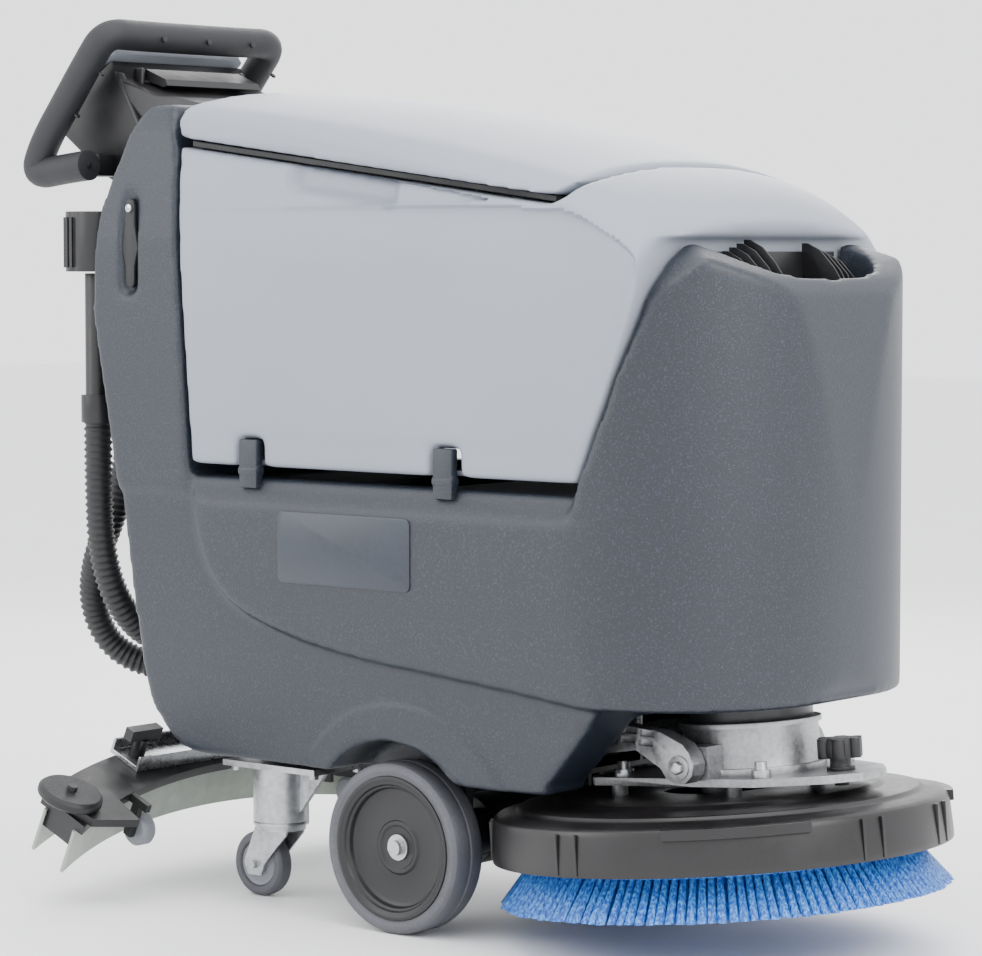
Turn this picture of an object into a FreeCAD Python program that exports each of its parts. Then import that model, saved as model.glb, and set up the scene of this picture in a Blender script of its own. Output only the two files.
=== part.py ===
import FreeCAD, Part
import math
import os
import re
import Sketcher

# Walk-behind scrubber dryer. Millimetres. +X is the way it drives, +Y its left side, +Z up.
# The floor is z = 0. It is drawn parked: brush deck and squeegee lifted clear of the floor.

doc = FreeCAD.newDocument("floor_scrubber")
sizes = doc.addObject("Spreadsheet::Sheet", "Sizes")
SIZE = {}
SIDES = (("right", -1), ("left", 1))


def size(name, value):
    """Write one driving dimension to the sheet, once, under its own name."""
    row = len(SIZE) + 1
    sizes.set("A%d" % row, name)
    sizes.set("B%d" % row, str(value))
    sizes.setAlias("B%d" % row, name)
    SIZE[name] = value


# ---- driving dimensions -------------------------------------------------------------------------
# every finished piece moves forward by this, so that the origin is under the middle
size("centre_shift", 36.8)
# tank and body
size("body_half_width", 250)
size("foot_half_width", 222)
size("body_bottom", 182)
size("ledge_height", 508)
size("wall", 5)
size("bay_length", 332)
size("bay_reach", 198)
size("bay_rear", -293)
size("bay_front", 297)
size("column_rear", -457)
size("column_top", 962)
size("column_half_width", 226)
size("hood_front", 495)
size("hood_start", 262)
size("hood_bottom", 290)
size("hood_top", 797)
size("mouth_half_width", 128)
size("mouth_length", 82)
# recovery tank and lid
size("tank_gap", 4)
size("tank_bottom", 517)
size("seam_rear", 916)
size("seam_front", 842)
size("lid_gap", 8)
size("lid_rear_top", 976)
size("lid_front_top", 915)
size("lid_front", 262)
size("tank_half_width", 244)
size("tip_pin_radius", 5)
size("tip_pin_length", 34)
# running gear
size("wheel_centre", 7)
size("wheel_radius", 100)
size("wheel_width", 50)
size("wheel_face", 218)
size("hub_radius", 84)
size("hub_dish", 14)
size("shaft_radius", 12)
size("shaft_play", 0.05)
size("arch_clearance", 25)
size("caster_pivot", -249)
size("caster_offset", 128)
size("caster_trail", 30)
size("caster_wheel_radius", 40)
size("caster_wheel_width", 24)
size("caster_tube_radius", 34)
size("caster_tube_bottom", 96)
size("caster_axle_radius", 5)
# brush deck
size("deck_centre", 320)
size("deck_tilt", 4.9)
size("deck_height", 108)
size("deck_radius", 263)
size("deck_depth", 62)
size("brush_radius", 258)
size("brush_bottom", 58)
size("bristle_length", 44)
size("plate_height", 81)
size("plate_thickness", 9)
size("motor_radius", 72)
size("motor_offset", 50)
size("motor_top", 244)
size("arm_pivot", 110)
size("arm_pivot_height", 205)
size("arm_end", 354)
size("arm_end_height", 217)
size("arm_offset", 118)
size("arm_width", 24)
size("pin_radius", 7)
# squeegee
size("squeegee_half_width", 345)
size("squeegee_floor_line", -311)
size("squeegee_reach", 215)
size("squeegee_sweep", 82)
size("squeegee_pitch", 24)
size("squeegee_pivot_height", 150)
size("blade_height", 56)
size("blade_thickness", 4)
size("blade_gap", 52)
size("bumper_radius", 40)
size("roller_radius", 20)
size("port_radius", 19)
# handle and console
size("bar_radius", 19)
size("bar_wall", 2.5)
size("bar_half_width", 152)
size("bar_top", 1053)
size("bar_x", -518)
size("bar_low", 906)
size("bar_low_x", -628)
size("console_half_width", 118)
size("panel_length", 128)
size("panel_lean", 32)
size("panel_x", -596)
size("panel_height", 1000)
size("button_travel", 2)
size("paddle_half_width", 84)
# hoses
size("hose_radius", 18)
size("drain_x", -489)
size("drain_y", -200)
doc.recompute()


def value(name):
    return float(sizes.get(name))


def bound(text):
    """An expression in plain size names, with each name pointed at its cell."""
    return re.sub(r"[a-z]+(?:_[a-z]+)*", lambda m: "Sizes." + m.group(0) if m.group(0) in SIZE else m.group(0),
                  str(text))


def bind(thing, prop, text):
    if isinstance(text, str):
        thing.setExpression(prop, bound(text))
    else:
        setattr_path(thing, prop, text)


def setattr_path(thing, prop, number):
    """Set a plain number, also on one coordinate of a placement."""
    if prop.startswith("Placement.Base."):
        place = thing.Placement
        setattr(place.Base, prop[-1], float(number))
        thing.Placement = place
    else:
        setattr(thing, prop, float(number))


TURN = {"x": FreeCAD.Rotation(FreeCAD.Vector(0, 1, 0), 90),
        "y": FreeCAD.Rotation(FreeCAD.Vector(1, 0, 0), -90),
        "z": FreeCAD.Rotation()}


def seat(thing, at, axis="z"):
    thing.Placement = FreeCAD.Placement(FreeCAD.Vector(0, 0, 0), TURN[axis])
    for letter, text in zip("xyz", at):
        bind(thing, "Placement.Base." + letter, text)
    return thing


def box(name, lengths, corner):
    """A block: its three edge lengths and its lowest corner."""
    thing = doc.addObject("Part::Box", name)
    for prop, text in zip(("Length", "Width", "Height"), lengths):
        bind(thing, prop, text)
    return seat(thing, corner)


def rod(name, radius, length, at, axis="z"):
    """A round bar that starts at a point and runs along +axis."""
    thing = doc.addObject("Part::Cylinder", name)
    bind(thing, "Radius", radius)
    bind(thing, "Height", length)
    return seat(thing, at, axis)


def taper(name, first, second, length, at, axis="z"):
    thing = doc.addObject("Part::Cone", name)
    bind(thing, "Radius1", first)
    bind(thing, "Radius2", second)
    bind(thing, "Height", length)
    return seat(thing, at, axis)


def fuse(name, *pieces):
    thing = doc.addObject("Part::MultiFuse", name)
    thing.Shapes = list(pieces)
    return thing


def common(name, *pieces):
    thing = doc.addObject("Part::MultiCommon", name)
    thing.Shapes = list(pieces)
    return thing


def cut(name, base, *tools):
    thing = doc.addObject("Part::Cut", name)
    thing.Base = base
    thing.Tool = tools[0] if len(tools) == 1 else fuse(name + "_tools", *tools)
    return thing


def group(name, *pieces):
    """Like pieces that share a node and stay separate solids."""
    thing = doc.addObject("Part::Compound", name)
    thing.Links = list(pieces)
    return thing


def outline_sketch(body, plane, points):
    """A closed outline of straight lines, each corner held by two bound distances."""
    sketch = body.newObject("Sketcher::SketchObject", body.Name + "_outline")
    origin = [f for f in body.Origin.OriginFeatures if f.Role == plane][0]
    sketch.AttachmentSupport = [(origin, "")]
    sketch.MapMode = "FlatFace"
    count = len(points)
    spots = [FreeCAD.Vector(100 * math.cos(2 * math.pi * i / count), 100 * math.sin(2 * math.pi * i / count), 0)
             for i in range(count)]
    lines = [Part.LineSegment(spots[i], spots[(i + 1) % count]) for i in range(count)]
    sketch.addGeometry(lines, False)
    for i in range(count):
        sketch.addConstraint(Sketcher.Constraint("Coincident", i, 2, (i + 1) % count, 1))
    for i, corner in enumerate(points):
        for kind, text in zip(("DistanceX", "DistanceY"), corner):
            start = spots[i].x if kind == "DistanceX" else spots[i].y
            index = sketch.addConstraint(Sketcher.Constraint(kind, -1, 1, i, 1, start))
            sketch.setExpression("Constraints[%d]" % index, bound(text))
    return sketch


def slab(name, plane, points, low, high):
    """An outline padded from low to high along the plane's normal (XY, XZ or YZ)."""
    body = doc.addObject("PartDesign::Body", name)
    sketch = outline_sketch(body, plane + "_Plane", points)
    pad = body.newObject("PartDesign::Pad", name + "_pad")
    pad.Profile = sketch
    pad.Reversed = plane == "XZ"
    bind(pad, "Length", "(%s) - (%s)" % (high, low))
    letter = {"XY": "z", "XZ": "y", "YZ": "x"}[plane]
    bind(body, "Placement.Base." + letter, str(low))
    return body


def lathe(name, points, at, axis="z"):
    """An outline of (radius, height) corners revolved about its own axis."""
    body = doc.addObject("PartDesign::Body", name)
    sketch = outline_sketch(body, "XZ_Plane", points)
    turn = body.newObject("PartDesign::Revolution", name + "_turn")
    turn.Profile = sketch
    turn.ReferenceAxis = (sketch, ["V_Axis"])
    turn.Angle = 360
    return seat(body, at, axis)


def inset(corners, by):
    """An outline whose corners each say which way is inward, moved in by that much."""
    return [("%s + %d * (%s)" % (a, in_a, by), "%s + %d * (%s)" % (b, in_b, by)) for a, b, in_a, in_b in corners]


def both_sides(half, across):
    """The half outline and its mirror image; across is the index of the mirrored coordinate."""
    other = [("-(%s)" % a, b) if across == 0 else (a, "-(%s)" % b) for a, b in reversed(half)]
    return half + other


NODES = []


def node(label, thing):
    """Name the finished sub-part, whose file takes this name, and move it into the shared frame."""
    held = {path.lstrip("."): text for path, text in thing.ExpressionEngine}
    where = held.get("Placement.Base.x", str(thing.Placement.Base.x))
    thing.setExpression("Placement.Base.x", "(%s) + Sizes.centre_shift" % where)
    thing.Label = label
    NODES.append(thing)
    return thing


def free_shape(label, shape):
    """A piece whose curved form neither sketches nor primitives give."""
    thing = doc.addObject("Part::Feature", label + "_shape")
    thing.Shape = shape
    thing.Placement = FreeCAD.Placement()
    return node(label, thing)


def tube_path(points, bends=None):
    """Straight runs joined by tangent arcs; each arc is as large as its runs allow, or as given."""
    corners = [FreeCAD.Vector(*p) for p in points]
    edges, radii, start = [], [], corners[0]
    for i in range(1, len(corners) - 1):
        back = corners[i - 1] - corners[i]
        ahead = corners[i + 1] - corners[i]
        shorter = min(back.Length, ahead.Length)
        half_turn = (math.pi - back.getAngle(ahead)) / 2
        radius = bends[i - 1] if bends else 0.45 * shorter / math.tan(half_turn)
        reach = radius * math.tan(half_turn)
        back.normalize()
        ahead.normalize()
        first, last = corners[i] + back * reach, corners[i] + ahead * reach
        to_centre = (back + ahead).normalize() * (radius / math.cos(half_turn))
        centre = corners[i] + to_centre
        middle = centre - (back + ahead).normalize() * radius
        edges.append(Part.LineSegment(start, first).toShape())
        edges.append(Part.Arc(first, middle, last).toShape())
        radii.append(radius)
        start = last
    edges.append(Part.LineSegment(start, corners[-1]).toShape())
    return Part.Wire(edges), radii


def tube(label, points, radius, bends=None):
    """A round tube or hose along a path, with its bends and length printed."""
    path, radii = tube_path(points, bends)
    start = FreeCAD.Vector(*points[0])
    along = FreeCAD.Vector(*points[1]) - start
    ring_edge = Part.Circle(start, along, radius).toShape()
    solid = path.makePipeShell([Part.Wire([ring_edge])], True, True)
    expected = math.pi * radius ** 2 * path.Length
    print("%s: length %.0f, tightest bend %.0f, volume %.3f of section times length"
          % (label, path.Length, min(radii), solid.Volume / expected))
    return solid


# ---- solution tank: the dark moulding that carries everything --------------------------------------
# Each outline corner is (along, up, inward along, inward up), so that the same outlines give the skin
# and, drawn in by one wall, the room for the water.
BODY_SIDE = [
    ("bay_rear - 7", "body_bottom", 1, 1), ("bay_rear - 45", "body_bottom + 26", 1, 1),
    ("bay_rear - 69", "body_bottom + 68", 1, 0), ("bay_rear - 84", "body_bottom + 134", 1, 0),
    ("bay_rear - 124", "ledge_height", 1, -1), ("hood_front", "ledge_height", -1, -1),
    ("hood_front", "hood_bottom + 42", -1, 0), ("hood_front - 6", "hood_bottom + 12", -1, 0),
    ("hood_front - 17", "hood_bottom", -1, 1), ("hood_start + 66", "hood_bottom", 0, 1),
    ("hood_start + 52", "hood_bottom - 8", 0, 1), ("hood_start + 34", "hood_bottom - 32", -1, 0),
    ("hood_start - 6", "body_bottom + 30", -1, 0), ("hood_start - 34", "body_bottom + 6", -1, 1),
    ("hood_start - 62", "body_bottom", 0, 1)]
BODY_PLAN = [("column_rear", "body_half_width - 14", 1, -1), ("column_rear + 200", "body_half_width", 0, -1),
             ("hood_start", "body_half_width", 0, -1)] + [
    ("hood_start + (hood_front - hood_start) * %.5f" % math.cos(math.radians(turn)) ** 0.87,
     "body_half_width * %.5f" % math.sin(math.radians(turn)) ** 0.87, -1 if turn < 60 else 0, -1)
    for turn in range(84, 6, -7)] + [("hood_front", "16", -1, 0)]
BODY_SECTION = [("foot_half_width", "body_bottom", -1, 0), ("body_half_width - 7", "hood_bottom + 30", -1, 0),
                ("body_half_width", "ledge_height - 20", -1, 0), ("body_half_width - 5", "ledge_height", -1, 0)]
COLUMN_SIDE = [
    ("bay_rear - 124", "ledge_height - 1", 1, -3), ("column_rear", "ledge_height + 198", 1, 0),
    ("column_rear + 2", "ledge_height + 282", 1, 0), ("column_rear + 11", "column_top - 119", 1, 0),
    ("column_rear + 57", "column_top - 22", 1, -1), ("column_rear + 72", "column_top", 1, -1),
    ("bay_rear - 43", "column_top", -1, -1), ("bay_rear - 30", "seam_rear - 12", -1, 0),
    ("bay_rear", "ledge_height - 1", -1, -3)]
COLUMN_SECTION = [("column_half_width + 16", "ledge_height - 2", -1, -3),
                  ("column_half_width + 12", "column_top - 160", -1, 0),
                  ("column_half_width - 2", "column_top - 30", -1, 0),
                  ("column_half_width - 16", "column_top + 1", -1, 0)]
HOOD_SIDE = [
    ("bay_front - 6", "ledge_height - 1", 1, -3), ("bay_front + 9", "ledge_height + 42", 1, 0),
    ("bay_front + 76", "hood_top - 57", 1, 0), ("bay_front + 80", "hood_top", 1, -1),
    ("bay_front + 96", "hood_top - 4", 0, -1), ("hood_front - 26", "hood_top - 40", -1, -1),
    ("hood_front - 12", "hood_top - 62", -1, -1), ("hood_front - 3", "hood_top - 157", -1, 0),
    ("hood_front", "ledge_height - 1", -1, -3)]
HOOD_SECTION = [("body_half_width - 5", "ledge_height - 2", -1, -3), ("body_half_width - 14", "hood_top - 140", -1, 0),
                ("body_half_width - 33", "hood_top - 57", -1, 0), ("body_half_width - 62", "hood_top - 18", -1, -1),
                ("mouth_half_width + 24", "hood_top + 1", -1, 0)]
MOUTH = [("bay_front + 96", "mouth_half_width", 1, -1), ("bay_front + 112 + mouth_length * 0.35",
                                                      "mouth_half_width * 0.86", 0, -1),
         ("bay_front + 96 + mouth_length * 0.86", "mouth_half_width * 0.45", -1, -1),
         ("bay_front + 96 + mouth_length", "8", -1, 0)]


def tank_form(tag, by):
    """Lower body, rear column and front hood in one, with every face drawn in by that much."""
    wide = "body_half_width + 1"
    seen_from_above = slab("plan_" + tag, "XY", both_sides(inset(BODY_PLAN, by), 1), "0", "column_top + 60")
    pieces = []
    for name, side, section in (("body", BODY_SIDE, BODY_SECTION), ("column", COLUMN_SIDE, COLUMN_SECTION),
                                ("hood", HOOD_SIDE, HOOD_SECTION)):
        pieces.append(common(
            "%s_%s" % (name, tag), slab("%s_side_%s" % (name, tag), "XZ", inset(side, by), "-(%s)" % wide, wide),
            slab("%s_section_%s" % (name, tag), "YZ", both_sides(inset(section, by), 0), "column_rear - 1",
                 "hood_front + 1"), seen_from_above))
    return fuse("form_" + tag, *pieces)


def tank_wells(tag, by):
    """The rooms let into the tank from outside, each grown by that much on every closed face."""
    wells = [
        box("battery_bay_" + tag, ("bay_length + 2 * (%s)" % by, "2 * (bay_reach + %s)" % by,
                                   "ledge_height - body_bottom - 40"),
            ("bay_rear + 31 - (%s)" % by, "-bay_reach - (%s)" % by, "body_bottom + 50 - (%s)" % by)),
        rod("deck_well_" + tag, "motor_radius + 26 + %s" % by, "motor_top + deck_height - hood_bottom + 60 + %s" % by,
            ("deck_centre + motor_offset - 16", 0, "hood_bottom - 40")),
        box("arm_well_" + tag, ("arm_end - arm_pivot + 56 + 2 * (%s)" % by,
                                "2 * arm_offset + arm_width + 32 + 2 * (%s)" % by, "108 + %s" % by),
            ("arm_pivot - 25 - (%s)" % by, "-arm_offset - arm_width / 2 - 16 - (%s)" % by, "body_bottom - 20")),
        rod("actuator_well_" + tag, "28 + %s" % by, "156 + %s" % by, ("arm_pivot + 88", 0, "body_bottom - 20"))]
    for side, sign in SIDES:
        wells.append(rod("wheel_well_%s_%s" % (side, tag), "wheel_radius + arch_clearance + %s" % by, 130,
                         ("wheel_centre", ("wheel_face - wheel_width - 12 - (%s)" if sign > 0
                                           else "12 + wheel_width - wheel_face - 130 + %s") % by,
                          "wheel_radius"), "y"))
        wells.append(box("strap_slot_%s_%s" % (side, tag), ("34 + 2 * (%s)" % by, 16, "132 + 2 * (%s)" % by),
                         ("column_rear + 42 - (%s)" % by, ("column_half_width + 2 - (%s)" if sign > 0
                                                         else "-column_half_width - 18 + %s") % by,
                          "column_top - 232 - (%s)" % by)))
    return wells


chute = slab("chute", "XY", both_sides(inset(MOUTH, "-wall"), 1), "hood_top - 97 - wall", "hood_top")
water_room = cut("water_room", tank_form("inner", "wall"), chute, *tank_wells("inner", "wall"))
mouth = slab("mouth", "XY", both_sides(inset(MOUTH, "0"), 1), "hood_top - 97", "hood_top + 20")
throat = slab("throat", "XY", both_sides(inset(MOUTH, "2 * wall"), 1), "hood_top - 130", "hood_top")
rear_port = rod("rear_port", "hose_radius + 5", 70, (-450, 20, 501), "x")
node("solution_tank", cut("solution_tank_cut", tank_form("outer", "0"), water_room, mouth, throat, rear_port,
                          *tank_wells("outer", "0")))

# ---- ribbed filler grille in the tank's mouth --------------------------------------------------------
grille_plate = slab("grille_plate", "XY", both_sides(inset(MOUTH, "1"), 1), "hood_top - 96.8", "hood_top - 92")
bars = []
for index in range(11):
    bars.append(box("grille_rib_%d" % index, (8, 4, 72),
                    ("bay_front + 101", "14 - mouth_half_width + %d * (mouth_half_width - 16) / 5" % index,
                     "hood_top - 93")))
node("filler_grille", fuse("grille", grille_plate, *bars))

# ---- chassis: folded plate and rails under the tank ------------------------------------------------
# the squeegee turns about a line that lets it go from parked to flat on the floor in one swing
SQUEEGEE_PIVOT = "squeegee_floor_line + squeegee_pivot_height * tan(squeegee_pitch / 2 * 1deg)"
base = box("base", (386, 236, 6), (-290, -118, "body_bottom - 10"))
rails = [box("rail_" + side, (160, 6, 44), (-120, "112 * %d - 3" % sign, "body_bottom - 54"))
         for side, sign in SIDES]
hangers = [box("hanger_" + side, (80, 8, 84), ("wheel_centre - 40", "126 * %d - 4" % sign, "body_bottom - 88"))
           for side, sign in SIDES]
joiners = [box("joiner_" + side, (80, 16, 6), ("wheel_centre - 40", "%s" % (114 if sign > 0 else -130),
                                               "body_bottom - 10")) for side, sign in SIDES]
hanger_holes = [rod("hanger_hole_" + side, 29, 12, ("wheel_centre", 126 * sign - 6, "wheel_radius"), "y")
                for side, sign in SIDES]
arm_lugs = []
for side, sign in SIDES:
    for face in (-1, 1):
        centre = "arm_offset * %d + %d * (arm_width / 2 + 5)" % (sign, face)
        arm_lugs.append(box("lug_%s_%d" % (side, face + 1), (34, 6, 52),
                            ("arm_pivot - 17", centre + " - 3", "arm_pivot_height - 26")))
lug_bridge = box("lug_bridge", (34, "2 * arm_offset + arm_width + 16", 6),
                 ("arm_pivot - 17", "-arm_offset - arm_width / 2 - 8", "arm_pivot_height - 32"))
squeegee_lugs = [box("squeegee_lug_%d" % (face + 1), (36, 6, 48),
                     (SQUEEGEE_PIVOT + " - 18", 23 * face - 3, "squeegee_pivot_height - 22"))
                 for face in (-1, 1)]
lug_pins = [rod("lug_pin_" + side, "pin_radius - shaft_play", "arm_width + 24",
                ("arm_pivot", "arm_offset * %d - arm_width / 2 - 12" % sign, "arm_pivot_height"), "y")
            for side, sign in SIDES]
squeegee_pin = rod("squeegee_pin", "pin_radius - shaft_play", 60,
                   (SQUEEGEE_PIVOT, -30, "squeegee_pivot_height"), "y")
frame_plates = fuse("frame_plates", base, lug_bridge, squeegee_pin, *(rails + joiners + arm_lugs
                                                                       + squeegee_lugs + lug_pins + hangers))
node("chassis_frame", cut("chassis_frame_cut", frame_plates, *hanger_holes))

# ---- transaxle and drive wheels --------------------------------------------------------------------
gearcase = rod("gearcase", 42, 120, ("wheel_centre - 18", -60, "wheel_radius"), "y")
sleeves = rod("sleeves", 28, 276, ("wheel_centre", -138, "wheel_radius"), "y")
drive_motor = rod("drive_motor", 40, 150, ("wheel_centre - 180", 0, "wheel_radius + 6"), "x")
motor_cap = rod("motor_cap", 34, 12, ("wheel_centre - 192", 0, "wheel_radius + 6"), "x")
axle_bore = rod("axle_bore", "shaft_radius + shaft_play", 290, ("wheel_centre", -145, "wheel_radius"), "y")
node("transaxle", cut("transaxle_cut", fuse("transaxle_body", gearcase, sleeves, drive_motor, motor_cap),
                      axle_bore))

tyre_profile = [("hub_radius", "2"), ("wheel_radius - 6", "0"), ("wheel_radius - 1.5", "5"),
                ("wheel_radius", "wheel_width / 2"), ("wheel_radius - 1.5", "wheel_width - 5"),
                ("wheel_radius - 6", "wheel_width"), ("hub_radius", "wheel_width - 2")]
for side, sign in SIDES:
    hub_body = lathe("hub_body_" + side, [
        ("shaft_radius", "hub_dish"), ("hub_radius - 12", "hub_dish"), ("hub_radius - 7", "1"),
        ("hub_radius", "1"), ("hub_radius", "wheel_width - 1"), ("hub_radius - 6", "wheel_width - 1"),
        ("hub_radius - 10", "hub_dish + 6"), ("26", "hub_dish + 6"), ("24", "wheel_width - 4"),
        ("shaft_radius", "wheel_width - 4")], (0, 0, 0))
    tyre = lathe("tyre_body_" + side, tyre_profile, (0, 0, 0))
    shaft = fuse("shaft_" + side, rod("shaft_bar_" + side, "shaft_radius", "wheel_face - hub_dish - 70", (0, 0, 0)),
                 rod("shaft_bolt_" + side, 9, 7, (0, 0, 0)), rod("shaft_washer_" + side, 15, 2, (0, 0, 0)))
    shaft.Shapes[0].Placement.Base = FreeCAD.Vector(0, 0, 0)
    bind(shaft.Shapes[0], "Placement.Base.z", "hub_dish")
    bind(shaft.Shapes[1], "Placement.Base.z", "hub_dish - 9")
    bind(shaft.Shapes[2], "Placement.Base.z", "hub_dish - 2")
    for label, thing in (("drive_hub_", hub_body), ("tyre_", tyre), ("axle_", shaft)):
        turned = FreeCAD.Rotation(FreeCAD.Vector(1, 0, 0), -90 if sign < 0 else 90)
        thing.Placement = FreeCAD.Placement(FreeCAD.Vector(0, 0, 0), turned)
        bind(thing, "Placement.Base.x", "wheel_centre")
        bind(thing, "Placement.Base.y", "wheel_face * %d" % sign)
        bind(thing, "Placement.Base.z", "wheel_radius")
        node(label + side, thing)

# ---- rear casters ----------------------------------------------------------------------------------
for side, sign in SIDES:
    y = "caster_offset * %d" % sign
    plate = box("plate_" + side, (150, 104, 7), ("caster_pivot - 48", y + " - 52", "body_bottom - 17.5"))
    pipe = rod("pipe_" + side, "caster_tube_radius", "body_bottom - 17.5 - caster_tube_bottom",
               ("caster_pivot", y, "caster_tube_bottom"))
    gusset = slab("gusset_" + side, "XZ", [
        ("caster_pivot + caster_tube_radius - 4", "body_bottom - 18"),
        ("caster_pivot + caster_tube_radius + 44", "body_bottom - 18"),
        ("caster_pivot + caster_tube_radius + 40", "body_bottom - 24"),
        ("caster_pivot + caster_tube_radius - 4", "caster_tube_bottom + 8")], y + " - 3", y + " + 3")
    bolts = [rod("plate_bolt_%s_%d_%d" % (side, i, j), 6.5, 6,
                 ("caster_pivot - 36 + %d" % (i * 126), y + " - 40 + %d" % (j * 80), "body_bottom - 23.5"))
             for i in (0, 1) for j in (0, 1)]
    stem_hole = rod("stem_hole_" + side, 8.05, 60, ("caster_pivot", y, "caster_tube_bottom - 1"))
    node("caster_mount_" + side, cut("mount_cut_" + side, fuse("mount_" + side, plate, pipe, gusset, *bolts),
                                     stem_hole))
    head = rod("head_" + side, 30, 9, ("caster_pivot", y, "caster_tube_bottom - 11"))
    race = rod("race_" + side, "caster_tube_radius", 4, ("caster_pivot", y, "caster_tube_bottom - 4.5"))
    neck = rod("neck_" + side, 24, 5, ("caster_pivot", y, "caster_tube_bottom - 6"))
    stem = rod("stem_" + side, 8, 40, ("caster_pivot", y, "caster_tube_bottom - 5"))
    cheeks = []
    for face in (-1, 1):
        inner = "(%s) + %d * (caster_wheel_width / 2 + 3)" % (y, face)
        cheeks.append(slab("cheek_%s_%d" % (side, face + 1), "XZ", [
            ("caster_pivot - 26", "caster_tube_bottom - 4"), ("caster_pivot + 26", "caster_tube_bottom - 4"),
            ("caster_pivot + 22", "caster_tube_bottom - 16"),
            ("caster_pivot - caster_trail + 17", "caster_wheel_radius + 2"),
            ("caster_pivot - caster_trail + 11", "caster_wheel_radius - 13"),
            ("caster_pivot - caster_trail - 11", "caster_wheel_radius - 13"),
            ("caster_pivot - caster_trail - 17", "caster_wheel_radius + 2")],
            inner + " - 1.5", inner + " + 1.5"))
    axle = rod("fork_axle_" + side, "caster_axle_radius", "caster_wheel_width + 20",
               ("caster_pivot - caster_trail", y + " - caster_wheel_width / 2 - 10", "caster_wheel_radius"), "y")
    node("caster_fork_" + side, fuse("fork_" + side, head, race, neck, stem, axle, *cheeks))
    tread = lathe("tread_" + side, [
        ("caster_axle_radius + shaft_play", "-caster_wheel_width / 2 - 1"),
        ("11", "-caster_wheel_width / 2 - 1"), ("13", "-caster_wheel_width / 2 + 4"),
        ("caster_wheel_radius - 12", "-caster_wheel_width / 2 + 4"),
        ("caster_wheel_radius - 10", "-caster_wheel_width / 2"),
        ("caster_wheel_radius - 3", "-caster_wheel_width / 2 + 1"),
        ("caster_wheel_radius", "-caster_wheel_width / 2 + 7"),
        ("caster_wheel_radius", "caster_wheel_width / 2 - 7"),
        ("caster_wheel_radius - 3", "caster_wheel_width / 2 - 1"),
        ("caster_wheel_radius - 10", "caster_wheel_width / 2"),
        ("caster_wheel_radius - 12", "caster_wheel_width / 2 - 4"),
        ("13", "caster_wheel_width / 2 - 4"), ("11", "caster_wheel_width / 2 + 1"),
        ("caster_axle_radius + shaft_play", "caster_wheel_width / 2 + 1")], (0, 0, 0))
    seat(tread, ("caster_pivot - caster_trail", y, "caster_wheel_radius"), "y")
    node("caster_wheel_" + side, tread)

# ---- brush deck ------------------------------------------------------------------------------------
# Drawn level with its lower rim at height 0, then set on the tilted spindle axis.


def set_tilted(thing, x, z, angle):
    """Put a piece drawn level onto a pitched frame (angle up at the front is negative about +Y)."""
    thing.Placement = FreeCAD.Placement(FreeCAD.Vector(0, 0, 0), FreeCAD.Rotation(FreeCAD.Vector(0, 1, 0), 1))
    bind(thing, "Placement.Rotation.Angle", angle)
    bind(thing, "Placement.Base.x", x)
    bind(thing, "Placement.Base.z", z)
    return thing


def deck_node(label, *pieces):
    whole = pieces[0] if len(pieces) == 1 else fuse(label + "_body", *pieces)
    if dict(whole.ExpressionEngine) or not whole.Placement.isIdentity():
        whole = group(label + "_seat", whole)
    return node(label, set_tilted(whole, "deck_centre", "deck_height", "-deck_tilt"))


lips = []
for side, sign in SIDES:
    lip = box("lip_" + side, (26, 168, 14), ("deck_radius - 25", -84, "deck_depth - 34"))
    turned = group("lip_turned_" + side, lip)
    turned.Placement = FreeCAD.Placement(FreeCAD.Vector(), FreeCAD.Rotation(FreeCAD.Vector(0, 0, 1), sign * 50))
    lips.append(turned)
cover_shell = lathe("cover_shell", [
    ("deck_radius - 4", "0"), ("deck_radius", "0"), ("deck_radius", "8"), ("deck_radius - 3", "deck_depth - 16"),
    ("deck_radius - 9", "deck_depth - 9"), ("deck_radius - 30", "deck_depth - 6"),
    ("deck_radius - 34", "deck_depth"), ("deck_radius - 76", "deck_depth + 1"),
    ("deck_radius - 81", "deck_depth + 6"), ("62", "deck_depth + 6"), ("62", "deck_depth + 2"),
    ("deck_radius - 79", "deck_depth + 2"), ("deck_radius - 74", "deck_depth - 3"),
    ("deck_radius - 32", "deck_depth - 4"), ("deck_radius - 29", "deck_depth - 10"),
    ("deck_radius - 11", "deck_depth - 13"), ("deck_radius - 7", "deck_depth - 18")], (0, 0, 0))
deck_node("deck_cover", cover_shell, *lips)
block = lathe("block", [("20", "2"), ("50", "2"), ("50", "-6"), ("brush_radius - 33", "-6"),
                        ("brush_radius - 30", "-2"), ("brush_radius - 30", "8"), ("62", "12"),
                        ("56", "deck_depth - 16"), ("20", "deck_depth - 16")], (0, 0, 0))
deck_node("brush_block", block)
rows = []
for row in range(3):
    top, foot = "brush_radius - 36 - %d" % (40 * row), "brush_radius - %d" % (56 * row)
    rows.append(lathe("row_%d" % row, [(top + " - 22", "-6.2"), (top, "-6.2"), (foot, "-6.2 - bristle_length"),
                                       (foot + " - 26", "-6.2 - bristle_length")], (0, 0, 0)))
deck_node("brush_bristles", group("bristle_rows", *rows))
plate_half = [("-112", "88"), ("-100", "100"), ("40", "102"), ("120", "100"), ("185", "62"), ("214", "24")]
spindle_plate = slab("spindle_plate", "XY", plate_half + [(x, "-" + y) for x, y in reversed(plate_half)],
                     "plate_height", "plate_height + plate_thickness")
knob_hole = rod("knob_hole", 8.05, 30, (170, 0, "plate_height - 10"))
spindle_hole = rod("spindle_hole", 30, 30, (0, 0, "plate_height - 10"))
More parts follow.
